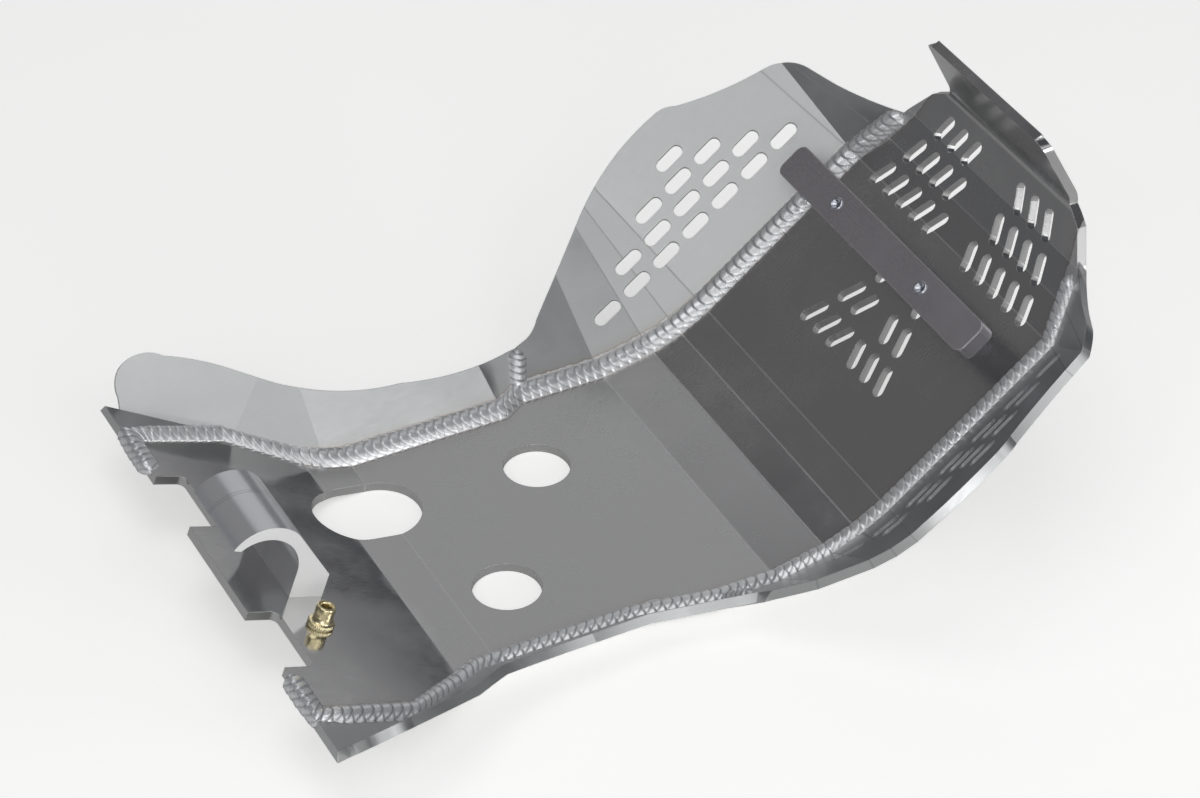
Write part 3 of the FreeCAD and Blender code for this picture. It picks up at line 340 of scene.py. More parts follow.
def base_points(side):
    jog_rear, jog_front = JOG[side]
    return [Vector((FRONT_SIDE, jog_front, THICKNESS)), Vector((REAR_SIDE, jog_rear, THICKNESS)),
            Vector((REAR_SIDE, HALF_BASE, THICKNESS))]


seam_line = [SEAM_NOSE, SEAM_FRONT] + SEAM_BENDS + base_points(1)
seam_line += [SEAM_TURN, SEAM_TAIL, SEAM_FLANGE, tail.at(FLANGE_SIDE, tail.length)]
print("seam points:", len(seam_line))

# %% [markdown]
# To colour the metal beside the seam, a material has to know how far a point lies from it. A painted
# mask would blur at this size, so two float curves hold the seam's height and its side for each place
# along the plate. One pair of curves serves both seams, because they differ only at the jog.

# %% The seam as curves
PLACE_LOW = -270.0
PLACE_HIGH = 195.0
SEAM_HEIGHT_TOP = 140.0
SEAM_SIDE_LOW = 70.0
SEAM_SIDE_TOP = 130.0


def axes(tree, kind="Object"):
    # the three axes of a point's place, or of its facing when the kind is "Normal"
    spot = node(tree, "ShaderNodeTexCoord").outputs[kind]
    return node(tree, "ShaderNodeSeparateXYZ", {"Vector": spot}).outputs


def seam_curve(tree, along, pairs, low, high):
    # pairs of place and value, in millimetres; the answer is the value in metres
    made = node(tree, "ShaderNodeFloatCurve", {"Value": along})
    curve = made.mapping.curves[0]
    while len(curve.points) < len(pairs):
        curve.points.new(0.5, 0.5)
    for knot, (place, value) in zip(curve.points, sorted(pairs)):
        knot.location = ((place - PLACE_LOW) / (PLACE_HIGH - PLACE_LOW), (value - low) / (high - low))
        knot.handle_type = "VECTOR"
    made.mapping.update()
    return combine(tree, "MULTIPLY_ADD", made.outputs["Value"], (high - low) * MM, low * MM)


print("helpers:", axes.__name__, seam_curve.__name__)

# %% [markdown]
# Welding heats the sheet and leaves three marks along the seam, so their group has to know how far a
# point lies from it. The distance to the nearest point of the seam would be exact, but no node can
# search for that point. So it is taken straight across: on the plate inwards from the seam, and on a
# wing upwards from it and along the leaning sheet.

# %% Shared effect: distance from the seam
# each mark: the distance where it starts to show, and the one where it is full, in millimetres
HEAT_BANDS = {"Tint": (16.0, 6.0), "Toe Line": (8.6, 8.0), "Etch": (9.4, 8.5)}
# a wing leans out, so a point lies this much further along the sheet than above the seam
WING_SLANT = 1.45

heat_group, given = start_group("weld heat", {"On Plate": FLOAT}, {title: FLOAT for title in HEAT_BANDS})
across, along, up = axes(heat_group)
share = grade(heat_group, along, PLACE_LOW * MM, PLACE_HIGH * MM, kind="LINEAR")
seam_up = seam_curve(heat_group, share, [(point.y, point.z) for point in seam_line],
                     0.0, SEAM_HEIGHT_TOP)
seam_out = seam_curve(heat_group, share, [(point.y, point.x) for point in seam_line],
                      SEAM_SIDE_LOW, SEAM_SIDE_TOP)
above = combine(heat_group, "MULTIPLY", combine(heat_group, "SUBTRACT", up, seam_up), WING_SLANT)
inside = combine(heat_group, "SUBTRACT", seam_out, combine(heat_group, "ABSOLUTE", across))
away = node(heat_group, "ShaderNodeMix", {"Factor": given["On Plate"], 2: above, 3: inside},
            data_type="FLOAT").outputs[0]
print("group:", heat_group.name)

# %% [markdown]
# Right beside the bead lies a pale cleaned line, then a thin etched one, and a brown tint further out.
# Each could be drawn by itself, but they run side by side, so all three are bands of the same
# distance, and a noise makes it waver a little, as a hand does.

# %% Shared effect: weld heat
HEAT_WAVER = 2.6 * MM
WAVER_SCALE = 260.0
WAVER_DETAIL = 3.0
# behind this the seam leaves the wings, so their marks fade
WING_MARKS_END = 100.0 * MM
WING_MARKS_FULL = 84.0 * MM

place = node(heat_group, "ShaderNodeTexCoord").outputs["Object"]
waver = node(heat_group, "ShaderNodeTexNoise",
             {"Vector": place, "Scale": WAVER_SCALE, "Detail": WAVER_DETAIL}).outputs["Fac"]
distance = combine(heat_group, "MULTIPLY_ADD", waver, HEAT_WAVER, away)
ahead = grade(heat_group, along, WING_MARKS_END, WING_MARKS_FULL)
kept = combine(heat_group, "MAXIMUM", ahead, given["On Plate"])
marks = {}
for title, (start, full) in HEAT_BANDS.items():
    band = grade(heat_group, distance, start * MM, full * MM)
    marks[title] = combine(heat_group, "MULTIPLY", band, kept)
node(heat_group, "NodeGroupOutput", marks)
print("marks:", sorted(marks))

# %% [markdown]
# A press brake leaves a fine line on the sheet at each bend. The lines could be cut into the mesh, but
# they have no depth to see. Every bend lies in a plane that halves the angle between its two strips,
# and the front wings are folded at the same planes. So each line is a thin slice of the distance from
# such a plane, and the group keeps the strongest slice at a point.

# %% Shared effect: press lines
PRESS_LINE = 0.70 * MM
PRESS_SOFT = 0.55 * MM

press_group, given = start_group("press lines", {}, {"Line": FLOAT})
place = node(press_group, "ShaderNodeTexCoord").outputs["Object"]
line = 0.0
for rows, heading in ((FORWARD[:-1], -1), (REARWARD, 1)):
    before = Vector((0, heading, 0))
    for name, _, _ in rows:
        fold = (before + strips[name].run).normalized()
        reach = node(press_group, "ShaderNodeVectorMath", {0: place, 1: fold}, operation="DOT_PRODUCT")
        gap = combine(press_group, "SUBTRACT", reach.outputs["Value"], strips[name].start.dot(fold) * MM)
        gap = combine(press_group, "ABSOLUTE", gap)
        line = combine(press_group, "MAXIMUM", line,
                       grade(press_group, gap, PRESS_LINE, PRESS_LINE - PRESS_SOFT))
        before = strips[name].run
node(press_group, "NodeGroupOutput", {"Line": line})
print("group:", press_group.name)

# %% [markdown]
# A finish is mostly colours mixed by masks. A noise could be a mask as it is, but its values seldom
# come near 0 or 1, so the tones would hardly differ. One helper stretches a noise over two tones, and
# another mixes two colours by a mask.

# %% Helpers for colours
# the noises seldom leave this range
NOISE_LOW = 0.3
NOISE_HIGH = 0.7


def stretch_noise(tree, noise, low, high):
    return grade(tree, noise, NOISE_LOW, NOISE_HIGH, low, high, "LINEAR")


def mix_colour(tree, factor, one, two):
    return node(tree, "ShaderNodeMix", {"Factor": factor, 6: one, 7: two}, data_type="RGBA").outputs[2]


print("helpers:", stretch_noise.__name__, mix_colour.__name__)

# %% [markdown]
# Every metal here could be a tree of its own, but they are all bare metal and differ in little. So
# one class starts them alike: a colour that drifts between two close tones with the patches, a
# roughness that follows streaks and patches, pale edges that are partly wear and partly a painted
# highlight, and a fine relief of the grain. Then a mark can tint, roughen or dull it where its mask
# is, in the order in which a workshop would.

# %% A metal finish in the making
STREAK_TONE = 0.35
STREAK_ROUGHNESS = 0.03
PATCH_SPREAD = 0.05
# how pale the edges are tinted: partly wear, partly a painted highlight
EDGE_WEAR_AND_HIGHLIGHT_TONE = 0.5
EDGE_DULL = -0.55
GRAIN_DEPTH = 0.2 * MM
# the white of cleaned metal, also used to paint the highlight along the edges
CLEAN_AND_HIGHLIGHT_WHITE = (0.80, 0.80, 0.80, 1.0)


class Finish:
    def __init__(self, name, light, dark, rough, stretch, fineness=1500.0, metallic=1.0,
                 edge=EDGE_RADIUS):
        self.material = bpy.data.materials.new(name)
        self.material.use_nodes = True
        tree = self.tree = self.material.node_tree
        given = node(tree, "ShaderNodeGroup", {"Stretch": stretch, "Fineness": fineness},
                     node_tree=grain_group).outputs
        self.streaks = given["Streaks"]
        self.patches = given["Patches"]
        edges = node(tree, "ShaderNodeGroup", {"Radius": edge}, node_tree=edge_group).outputs
        self.normal = edges["Normal"]
        self.colour = mix_colour(tree, self.patches, dark, light)
        self.tint(stretch_noise(tree, self.streaks, 0.0, STREAK_TONE), dark)
        # pale edges, partly worn and partly a painted highlight
        self.tint(edges["Edge"], CLEAN_AND_HIGHLIGHT_WHITE, EDGE_WEAR_AND_HIGHLIGHT_TONE)
        self.metallic = metallic
        self.dull(edges["Edge"], EDGE_DULL)
        self.rough = combine(
            tree, "ADD", stretch_noise(tree, self.patches, rough - PATCH_SPREAD, rough + PATCH_SPREAD),
            stretch_noise(tree, self.streaks, -STREAK_ROUGHNESS, STREAK_ROUGHNESS))

    def tint(self, mask, colour, amount=1.0):
        if amount < 1.0:
            mask = combine(self.tree, "MULTIPLY", mask, amount)
        self.colour = mix_colour(self.tree, mask, self.colour, colour)

    def roughen(self, mask, amount):
        self.rough = combine(self.tree, "MULTIPLY_ADD", mask, amount, self.rough)

    def dull(self, mask, amount):
        self.metallic = combine(self.tree, "MULTIPLY_ADD", mask, amount, self.metallic)

    def done(self, bump=0.05):
        relief = node(self.tree, "ShaderNodeBump", {"Strength": bump, "Distance": GRAIN_DEPTH,
                                                    "Height": self.streaks, "Normal": self.normal})
        sockets = self.tree.nodes["Principled BSDF"].inputs
        for title, value in (("Base Color", self.colour), ("Roughness", self.rough),
                             ("Metallic", self.metallic), ("Normal", relief.outputs["Normal"])):
            self.tree.links.new(value, sockets[title])
        return self.material


finishes = {}
print("class:", Finish.__name__)

# %% [markdown]
# Welding and folding leave their marks on the sheets. The marks could be part of every finish, but
# the hook and the bar have neither, so they are functions that add to the finishes that need them.

# %% Marks of the welder and the press
HEAT_BROWN = (0.42, 0.34, 0.27, 1.0)
BROWN_TONE = 0.28
ETCH_TONE = 0.6
TOE_ROUGHNESS = 0.25
PRESS_TONE = 0.5
PRESS_ROUGHNESS = 0.15


def add_weld_heat(finish, on_plate):
    tree = finish.tree
    heat = node(tree, "ShaderNodeGroup", {"On Plate": on_plate}, node_tree=heat_group).outputs
    cloudy = stretch_noise(tree, finish.patches, 0.0, BROWN_TONE)
    finish.tint(combine(tree, "MULTIPLY", heat["Tint"], cloudy), HEAT_BROWN)
    finish.tint(heat["Etch"], HEAT_BROWN, ETCH_TONE)
    finish.tint(heat["Toe Line"], CLEAN_AND_HIGHLIGHT_WHITE)
    finish.roughen(heat["Toe Line"], TOE_ROUGHNESS)


def add_press_lines(finish, colour):
    line = node(finish.tree, "ShaderNodeGroup", node_tree=press_group).outputs["Line"]
    finish.tint(line, colour, PRESS_TONE)
    finish.roughen(line, PRESS_ROUGHNESS)


print("marks:", add_weld_heat.__name__, add_press_lines.__name__)

# %% [markdown]
# Some changes of finish don't end at a cut edge: the tail is rubbed smoother than the base, and the
# rear wings are duller beside the joint. A straight border would look painted, so the mask grows from
# one place along the plate to another, and a coarse noise makes its border waver.

# %% A wavering border
BORDER_WAVER = 30.0 * MM
BORDER_SCALE = 24.0


def beyond(tree, start, full):
    place = node(tree, "ShaderNodeTexCoord").outputs["Object"]
    waver = node(tree, "ShaderNodeTexNoise", {"Vector": place, "Scale": BORDER_SCALE}).outputs["Fac"]
    along = combine(tree, "MULTIPLY_ADD", waver, BORDER_WAVER, axes(tree)["Y"])
    middle = BORDER_WAVER / 2
    return grade(tree, along, start * MM + middle, full * MM + middle)


print("border wavers by", round(BORDER_WAVER / MM), "mm")

# %% [markdown]
# The plate is mill finish sheet, rolled lengthwise and hardly scratched, so its grain is fine and its
# relief very low. A mirror finish would show the panels sharply, which a rolled sheet never does. The
# bends are drawn pale, and the tail is a little smoother, because the insert is seen mirrored in it.

# %% Finish of the plate
# the polish starts at the tail's bend
TAIL_POLISH = (97.0, 103.0)
POLISH_ROUGHNESS = -0.12

sheet = Finish("mill finish plate", (0.66, 0.66, 0.65, 1.0), (0.58, 0.58, 0.58, 1.0), 0.24,
               (1.0, 0.08, 0.08), fineness=3000.0)
add_weld_heat(sheet, on_plate=1.0)
add_press_lines(sheet, (0.86, 0.86, 0.84, 1.0))
sheet.roughen(beyond(sheet.tree, *TAIL_POLISH), POLISH_ROUGHNESS)
finishes["plate"] = sheet.done(bump=0.006)
print("finish:", finishes["plate"].name)

# %% [markdown]
# The wings are cut from the same sheet, but handled more, so they are rougher. Front and rear could
# share one finish, but the front ones have press lines, which look dark on them, and the rear ones
# have none and are pale and dull beside the joint, as if the welder had brushed it.

# %% Finishes of the wings
WING_GRAIN = (1.0, 0.10, 0.10)
WING_ROUGHNESS = 0.34
JOINT_BRUSHED = (-11.0, -17.0)
BRUSHED_DULL = -0.80

wing = Finish("mill finish front wing", (0.64, 0.65, 0.65, 1.0), (0.56, 0.57, 0.57, 1.0),
              WING_ROUGHNESS, WING_GRAIN)
add_weld_heat(wing, on_plate=0.0)
add_press_lines(wing, (0.34, 0.34, 0.33, 1.0))
finishes["front wing"] = wing.done(bump=0.02)

wing = Finish("mill finish rear wing", (0.66, 0.67, 0.67, 1.0), (0.58, 0.59, 0.59, 1.0),
              WING_ROUGHNESS, WING_GRAIN)
add_weld_heat(wing, on_plate=0.0)
wing.dull(beyond(wing.tree, *JOINT_BRUSHED), BRUSHED_DULL)
finishes["rear wing"] = wing.done(bump=0.02)
print("finishes:", sorted(finishes))

# %% [markdown]
# Weld metal is whiter than the sheet, and each ripple has a groove behind it. The grooves are too
# small for shadows to draw them, and a texture wouldn't fall into them. So the sweep that makes the
# bead writes a painted shade on each point, darkest in the grooves and fading a little over each
# coin, and the finish reads it as a mask that paints that shade grey.

# %% Finish of the weld
# the grey that paints the shade in each groove
GROOVE_SHADE_GREY = (0.20, 0.21, 0.23, 1.0)
GROOVE_ROUGHNESS = 0.12

bead = Finish("bright weld", (0.98, 0.98, 0.99, 1.0), (0.92, 0.93, 0.94, 1.0), 0.30, (1.0, 1.0, 1.0),
              fineness=900.0, metallic=0.60)
# the shade attribute is painted shade, darkest in the grooves and lighter towards each coin's front
groove = node(bead.tree, "ShaderNodeAttribute", attribute_name="shade").outputs["Fac"]
bead.tint(groove, GROOVE_SHADE_GREY)
bead.roughen(groove, GROOVE_ROUGHNESS)
finishes["weld"] = bead.done(bump=0.04)
print("finish:", finishes["weld"].name)

# %% [markdown]
# The hook is a slice of a drawn extrusion. Its drawn sides are bright, with two faint lines scribed
# round them, and its sawn ends are pale and rough. Two materials could do this, but the faces of the
# solid aren't sorted, so masks do it: the facing finds the sawn ends, and the place finds the lines.

# %% Finish of the hook
hook_low, hook_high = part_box("hook_bracket")
RING_SHARES = (0.62, 0.655)
RING_HALF = 0.18 * MM
RING_GREY = (0.30, 0.30, 0.31, 1.0)
RING_TONE = 0.6
SAWN_FACING = 0.9
SAWN_WHITE = (0.96, 0.96, 0.96, 1.0)
SAWN_ROUGHNESS = 0.32
SAWN_DULL = -0.60

drawn = Finish("extruded hook", (0.92, 0.93, 0.94, 1.0), (0.82, 0.83, 0.85, 1.0), 0.21,
               (0.04, 1.0, 1.0), fineness=3000.0, metallic=0.75)
for share in RING_SHARES:
    place = hook_low[0] + (hook_high[0] - hook_low[0]) * share
    ring = combine(drawn.tree, "COMPARE", axes(drawn.tree)["X"], place, RING_HALF)
    drawn.tint(ring, RING_GREY, RING_TONE)
sideways = combine(drawn.tree, "ABSOLUTE", axes(drawn.tree, "Normal")["X"])
sawn = combine(drawn.tree, "GREATER_THAN", sideways, SAWN_FACING)
drawn.tint(sawn, SAWN_WHITE)
drawn.roughen(sawn, SAWN_ROUGHNESS)
drawn.dull(sawn, SAWN_DULL)
finishes["hook"] = drawn.done(bump=0.01)
print("finish:", finishes["hook"].name)

# %% [markdown]
# The clamp bar is brushed along its length, with broadly broken edges. The fasteners are plated, so
# they are bluish and even, and the insert is turned brass, streaked round its axis. Each could have
# marks of its own, but at their size none would show, so a colour, a roughness and the direction of
# the grain are enough.

# %% Finishes of the small parts
# its wide edge radius widens the pale edges too, partly wear and partly a painted highlight
bar = Finish("brushed bar", (0.74, 0.71, 0.74, 1.0), (0.58, 0.56, 0.59, 1.0), 0.30, (0.02, 1.0, 1.0),
             fineness=2200.0, metallic=0.92, edge=1.2 * MM)
steel = Finish("plated fastener", (0.82, 0.85, 0.90, 1.0), (0.68, 0.71, 0.78, 1.0), 0.24,
               (1.0, 1.0, 1.0))
brass = Finish("turned brass", (1.0, 0.90, 0.60, 1.0), (0.90, 0.78, 0.46, 1.0), 0.26,
               (1.0, 1.0, 0.1))
finishes["bar"] = bar.done()
finishes["steel"] = steel.done()
finishes["brass"] = brass.done(bump=0.01)
print("finishes:", sorted(finishes))

# %% [markdown]
# A finish is put on a solid by its name. The bar's edges are planed off by a millimetre. A bevel node
# could tint them, but their outline shows at that size, so they get a real bevel as a modifier, which
# leaves the mesh as it is.

# %% Dress the solids
DRESS = {
    "plate": ("main_plate",),
    "front wing": ("left_front_wing", "right_front_wing"),
    "rear wing": ("left_rear_wing", "right_rear_wing"),
    "weld": ("left_weld_bead", "right_weld_bead", "left_joint_weld", "right_joint_weld"),
    "hook": ("hook_bracket",),
    "bar": ("clamp_bar",),
    "steel": ("hook_screws", "clamp_bolts", "clamp_nuts"),
    "brass": ("brass_insert",),
}
PLANED_EDGE = 1.1 * MM
SHARP_ANGLE = 50.0

for finish, names in DRESS.items():
    for name in names:
        solids[name].data.materials.clear()
        solids[name].data.materials.append(finishes[finish])
planed = solids["clamp_bar"].modifiers.new("planed edges", "BEVEL")
planed.width = PLANED_EDGE
planed.segments = 2
planed.limit_method = "ANGLE"
planed.angle_limit = math.radians(SHARP_ANGLE)
print("dressed:", sum(len(names) for names in DRESS.values()))

# %% [markdown]
# A hand weld looks like a row of overlapping coins, each a drop of filler that froze with a curved
# front. A bump map could fake it, but the bead stands out at its sides and its outline shows against
# the sheet, so it is real geometry: a section swept along the seam. A station is one such section, as
# four points: its root in the metal, its toe on the plate, its crest, and its toe on the wing.

# %% Stations of a bead
LEG = 6.0
CREST = 5.0
CAP = 3.6
BITE = 0.5
ROOT = 1.5


def corner_station(corner, inward, upward):
    # a fillet in the corner between the plate, which lies inward, and a wing, which rises upward
    lean = inward.dot(upward)
    middle = (inward + upward).normalized()
    into_plate = (inward * lean - upward).normalized()
    into_wing = (upward * lean - inward).normalized()
    one = corner + inward * LEG + into_plate * BITE
    two = corner + upward * LEG + into_wing * BITE
    return corner - middle * ROOT, one, corner + middle * CREST, two


def level_station(corner, inward, outward, normal, crest=CAP, leg=LEG):
    # a flat cap over two sheets that lie level
    sunk = corner - normal * BITE
    return corner - normal * ROOT, sunk + inward * leg, corner + normal * crest, sunk + outward * leg


print("bead:", LEG, "mm legs,", CREST, "mm high")

# %% [markdown]
# From the nose to the heel the bead lies in a corner. The wing on its outer side leans out by its
# flare, and at a bend the station faces halfway between the two strips. Stations could be put every
# few millimetres, but the seam is straight between its bends, so one at each bend is enough.

# %% Stations along the front and the base
# how far the front wing, its nose and the rear wing lean outwards, in degrees
FLARES = {1: (50.0, 53.7, 42.0), -1: (51.2, 54.9, 47.5)}
NOSE_STOP = 0.9
INWARD = X_AXIS * -1


def rising(normal, flare):
    angle = math.radians(flare)
    return normal * math.cos(angle) + X_AXIS * math.sin(angle)


def halfway(one, two):
    return (one + two).normalized()


def front_stations(side):
    front_flare, nose_flare, rear_flare = FLARES[side]
    nose_run = (SEAM_NOSE - SEAM_FRONT).normalized()
    nose_normal = Vector((0, nose_run.z, -nose_run.y)).normalized()
    normals = [nose_normal] + [strips[name].normal for name in ("ramp", "throat", "instep", "toe")]
    normals.append(Z_AXIS)
    start = SEAM_FRONT.lerp(SEAM_NOSE, NOSE_STOP)
    found = [corner_station(start, INWARD, rising(nose_normal, nose_flare))]
    for corner, before, after in zip([SEAM_FRONT] + SEAM_BENDS, normals, normals[1:]):
        found.append(corner_station(corner, INWARD, rising(halfway(before, after), front_flare)))
    for corner, flare in zip(base_points(side), (front_flare, rear_flare, rear_flare)):
        found.append(corner_station(corner, INWARD, rising(Z_AXIS, flare)))
    return found


print("front stations:", {side: len(front_stations(side)) for side in FLARES})

# %% [markdown]
# At the heel the seam turns outwards. Then the wing's flange lies level with the tail, so the bead is
# a flat cap, and at the end it wraps round the corner and runs a little way along the rear edge. One
# section couldn't do all three, so each has its own kind of station, and the sweep blends them.

# %% Stations along the tail
# before the flange the wing leans out by this much more, in degrees, and a little to the rear
FLANGE_LEAN = 8.0
SLANT_SHARE = 0.1
CAP_PLACES = (37.0, 78.2)
WRAP_INSIDE = (106.0, 85.0)
# the wrapped section's root, crest and lower toe, as shares of the leg: outward, then down
WRAP_ROOT = (-0.3, 0.8)
WRAP_CREST = (0.35, -0.4)
WRAP_TOE = (0.6, 0.7)


def wrap_station(side, outward):
    edge = tail.at(side, tail.length)
    down = tail.normal * -1
    one = edge - outward * (LEG / outward.dot(tail.run)) + down * BITE
    root, crest, two = (edge + outward * (LEG * out) + down * (LEG * low)
                        for out, low in (WRAP_ROOT, WRAP_CREST, WRAP_TOE))
    return root, one, crest, two


def rear_stations(side):
    rear_flare = FLARES[side][2]
    slant = (SEAM_FLANGE - SEAM_TURN).normalized()
    across = slant.cross(tail.normal).normalized()
    if across.x > 0:
        across = across * -1
    turning = rising(strips["heel"].normal, rear_flare)
    lifted = (rising(tail.normal, rear_flare + FLANGE_LEAN) + slant * SLANT_SHARE).normalized()
    found = [corner_station(SEAM_TURN, halfway(INWARD, across), turning),
             corner_station(SEAM_TAIL, across, lifted)]
    found += [level_station(tail.at(FLANGE_SIDE, place), INWARD, X_AXIS, tail.normal)
              for place in CAP_PLACES]
    found.append(wrap_station(FLANGE_SIDE, halfway(X_AXIS, tail.run)))
    return found + [wrap_station(place, tail.run) for place in WRAP_INSIDE]


print("rear stations:", {side: len(rear_stations(side)) for side in FLARES})

# %% [markdown]
# The stations lie far apart, and a sweep between them would kink where the seam turns. A spline
# through them would swing outside the corner, so they are filled up with straight steps, and each
# row is then averaged with its neighbours a few times, which rounds the turns a little.

# %% Close rows between the stations
ROW_STEP = 0.45
SMOOTHINGS = 6


def dense_rows(found):
    rows = []
    for before, after in zip(found, found[1:]):
        count = max(1, round((after[2] - before[2]).length / ROW_STEP))
        for index in range(count):
            rows.append([one.lerp(two, index / count) for one, two in zip(before, after)])
    rows.append(list(found[-1]))
    for _ in range(SMOOTHINGS):
        inner = [[(a + b * 2 + c) * 0.25 for a, b, c in zip(before, here, after)]
                 for before, here, after in zip(rows, rows[1:], rows[2:])]
        rows = [rows[0]] + inner + [rows[-1]]
    return rows


seams = {side: dense_rows(front_stations(side) + rear_stations(side)) for side in FLARES}
print("rows:", {side: len(rows) for side, rows in seams.items()})

# %% [markdown]
# Coins of equal size would look machine made, so their steps and sizes are drawn by chance, from a
# seed that gives the same bead each time. Over a coin the metal climbs slowly and falls off quickly at
# its front. A plain sine wave would look like a rope.

# %% Coins of filler
COIN_PEAK = 0.80
COIN_CLIMB = 0.75
COIN_END = 0.9999
UNEVEN_STEP = (0.86, 1.16)
UNEVEN_SIZE = (0.75, 1.2)


def coin_wave(share):
    if share < COIN_PEAK:
        return (share / COIN_PEAK) ** COIN_CLIMB
    return math.cos((share - COIN_PEAK) / (1 - COIN_PEAK) * math.pi / 2)


def scatter_coins(length, pitch, seed):
    # the answer is a function: for a place, how far along its coin it lies, and the coin's size
    chance = random.Random(seed)
    marks = [-pitch]
    while marks[-1] < length + 3 * pitch:
        marks.append(marks[-1] + pitch * chance.uniform(*UNEVEN_STEP))
    sizes = [chance.uniform(*UNEVEN_SIZE) for _ in marks]

    def coin_at(place):
        low = min(max(bisect_right(marks, place) - 1, 0), len(marks) - 2)
        share = (place - marks[low]) / (marks[low + 1] - marks[low])
        return min(max(share, 0.0), COIN_END), sizes[low]

    return coin_at


print("coin wave:", [round(coin_wave(step / 5), 2) for step in range(5)])

# %% [markdown]
# One row of the bead is an arch from toe to toe. The arch could be lifted evenly, but a coin's front
# is bowed. So each point of the row asks which coin lies a little further along, by more towards the
# toes than at the crest. Where two coins meet the row is lower and its painted shade darkest, and the
# painted shade fades over each coin towards its front.

# %% One row of a bead
ACROSS = 20
FRONT_BOW = 7.6
BOW_ARC = 0.75
# heights and widths swing about the middle of the coin wave
RIPPLE = 0.36
RIPPLE_MIDDLE = 0.55
TOE_FADE = 0.6
SPREAD = 1.14
SCALLOP = 0.096
SCALLOP_MIDDLE = 0.6
# the painted shade: how wide its dark band in each groove is, how dark, and how much it adds over a coin
GROOVE_WIDTH = 0.55
GROOVE_PAINTED_SHADE = 0.66
COIN_PAINTED_SHADE = 0.08


def bowed(edge):
    # 0 at the crest and 1 at the toes, along an arc
    return (1 - math.sqrt(1 - BOW_ARC * edge * edge)) / (1 - math.sqrt(1 - BOW_ARC))


def bead_row(station, travelled, taper, coin_at, pitch, bow):
    root, one, crest, two = station
    middle = one.lerp(two, 0.5)
    control = crest * 2 - (one + two) * 0.5
    share, size = coin_at(travelled)
    wide = SPREAD + SCALLOP * size * (coin_wave(share) - SCALLOP_MIDDLE)
    points, shades = [], []
    for index in range(ACROSS + 1):
        t = index / ACROSS
        edge = 2 * t - 1
        arch = one * (1 - t) ** 2 + control * (2 * t * (1 - t)) + two * t ** 2
        share, size = coin_at(travelled + bow * bowed(edge))
        lift = RIPPLE * size * (coin_wave(share) - RIPPLE_MIDDLE) * (1 - TOE_FADE * edge ** 4)
        spot = middle + (arch - middle) * (wide * taper) + (arch - root).normalized() * (lift * taper)
        # painted shade: darkest where two coins meet, and fading over each coin towards its front
        groove = min(share, 1 - share) * pitch / GROOVE_WIDTH
        points.append(spot * MM)
        shades.append(min(1.0, GROOVE_PAINTED_SHADE * math.exp(-groove * groove) + COIN_PAINTED_SHADE * (1 - share)))
    return points + [root.lerp(middle, 1 - taper) * MM], shades + [0.0]


print("points in a row:", ACROSS + 2)

# %% [markdown]
# The rows are joined into a closed mesh. Both ends could be cut square, but a weld starts and stops
# with a small drop, so the section shrinks there to a rounded end. The same net of faces between
# rings will serve the turned pieces later.

# %% A whole bead
PITCH = 5.2
TAPER = 5.0
THINNEST = 0.02


def net_faces(rings, ring_size):
    faces = []
    for ring in range(rings - 1):
        for index in range(ring_size):
            here = ring * ring_size + index
            beside = ring * ring_size + (index + 1) % ring_size
            faces.append((here, beside, beside + ring_size, here + ring_size))
    return faces


def bead_mesh(rows, seed, pitch=PITCH, bow=FRONT_BOW):
    lengths = [0.0]
    for before, after in zip(rows, rows[1:]):
        lengths.append(lengths[-1] + (after[2] - before[2]).length)
    coin_at = scatter_coins(lengths[-1], pitch, seed)
    points, shades = [], []
    for station, travelled in zip(rows, lengths):
        taper = min(1.0, travelled / TAPER, (lengths[-1] - travelled) / TAPER)
        taper = math.sqrt(max(taper, THINNEST))
        spots, painted_shades = bead_row(station, travelled, taper, coin_at, pitch, bow)
        points += spots
        shades += painted_shades
    ring_size = ACROSS + 2
    ends = [tuple(range(ring_size))[::-1], tuple(range(len(points) - ring_size, len(points)))]
    return points, net_faces(len(rows), ring_size) + ends, shades


print("coins on the left seam: about", round(len(seams[1]) * ROW_STEP / PITCH))

# %% [markdown]
# A new piece is made from its points and faces, rides on the part's only body, takes the material
# slot of the solid it stands for, and hides that solid. The right beads could have stations of their
# own, but they are worked out on the left side and mirrored, so one set of rules serves both.

# %% Seam beads
SEAM_SEED = 11


def add_piece(name, points, faces, finish, replaced, mirror=False, shades=None):
    if mirror:
        points = [Vector((-point.x, point.y, point.z)) for point in points]
        faces = [tuple(reversed(face)) for face in faces]
    mesh = bpy.data.meshes.new(name)
    mesh.from_pydata(points, [], faces)
    mesh.validate()
    for face in mesh.polygons:
        face.use_smooth = True
    if shades is not None:
        # the weld's painted shade is kept on each point
        mesh.attributes.new("shade", "FLOAT", "POINT").data.foreach_set("value", shades)
    item = bpy.data.objects.new(name, mesh)
    scene.collection.objects.link(item)
    item.data.materials.append(finishes[finish])
    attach(item, "root")
    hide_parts(replaced)


for side, word in ((1, "left"), (-1, "right")):
    # the right bead was laid from the rear to the nose, so its coins face the other way
    rows = seams[side] if side > 0 else seams[side][::-1]
    points, faces, shades = bead_mesh(rows, seed=SEAM_SEED + side)
    add_piece(word + "_rippled_bead", points, faces, "weld",
              word + "_weld_bead", mirror=side < 0, shades=shades)
    print(word, "bead rows:", len(rows))

# %% [markdown]
# The two wings of a side meet in an upright seam, closed by a short bead of its own. It could be a
# tube, but beside the rippled seam a smooth one would stand out. It is the same sweep, with finer
# coins, between two stations that climb from the main bead to the wing's rim.

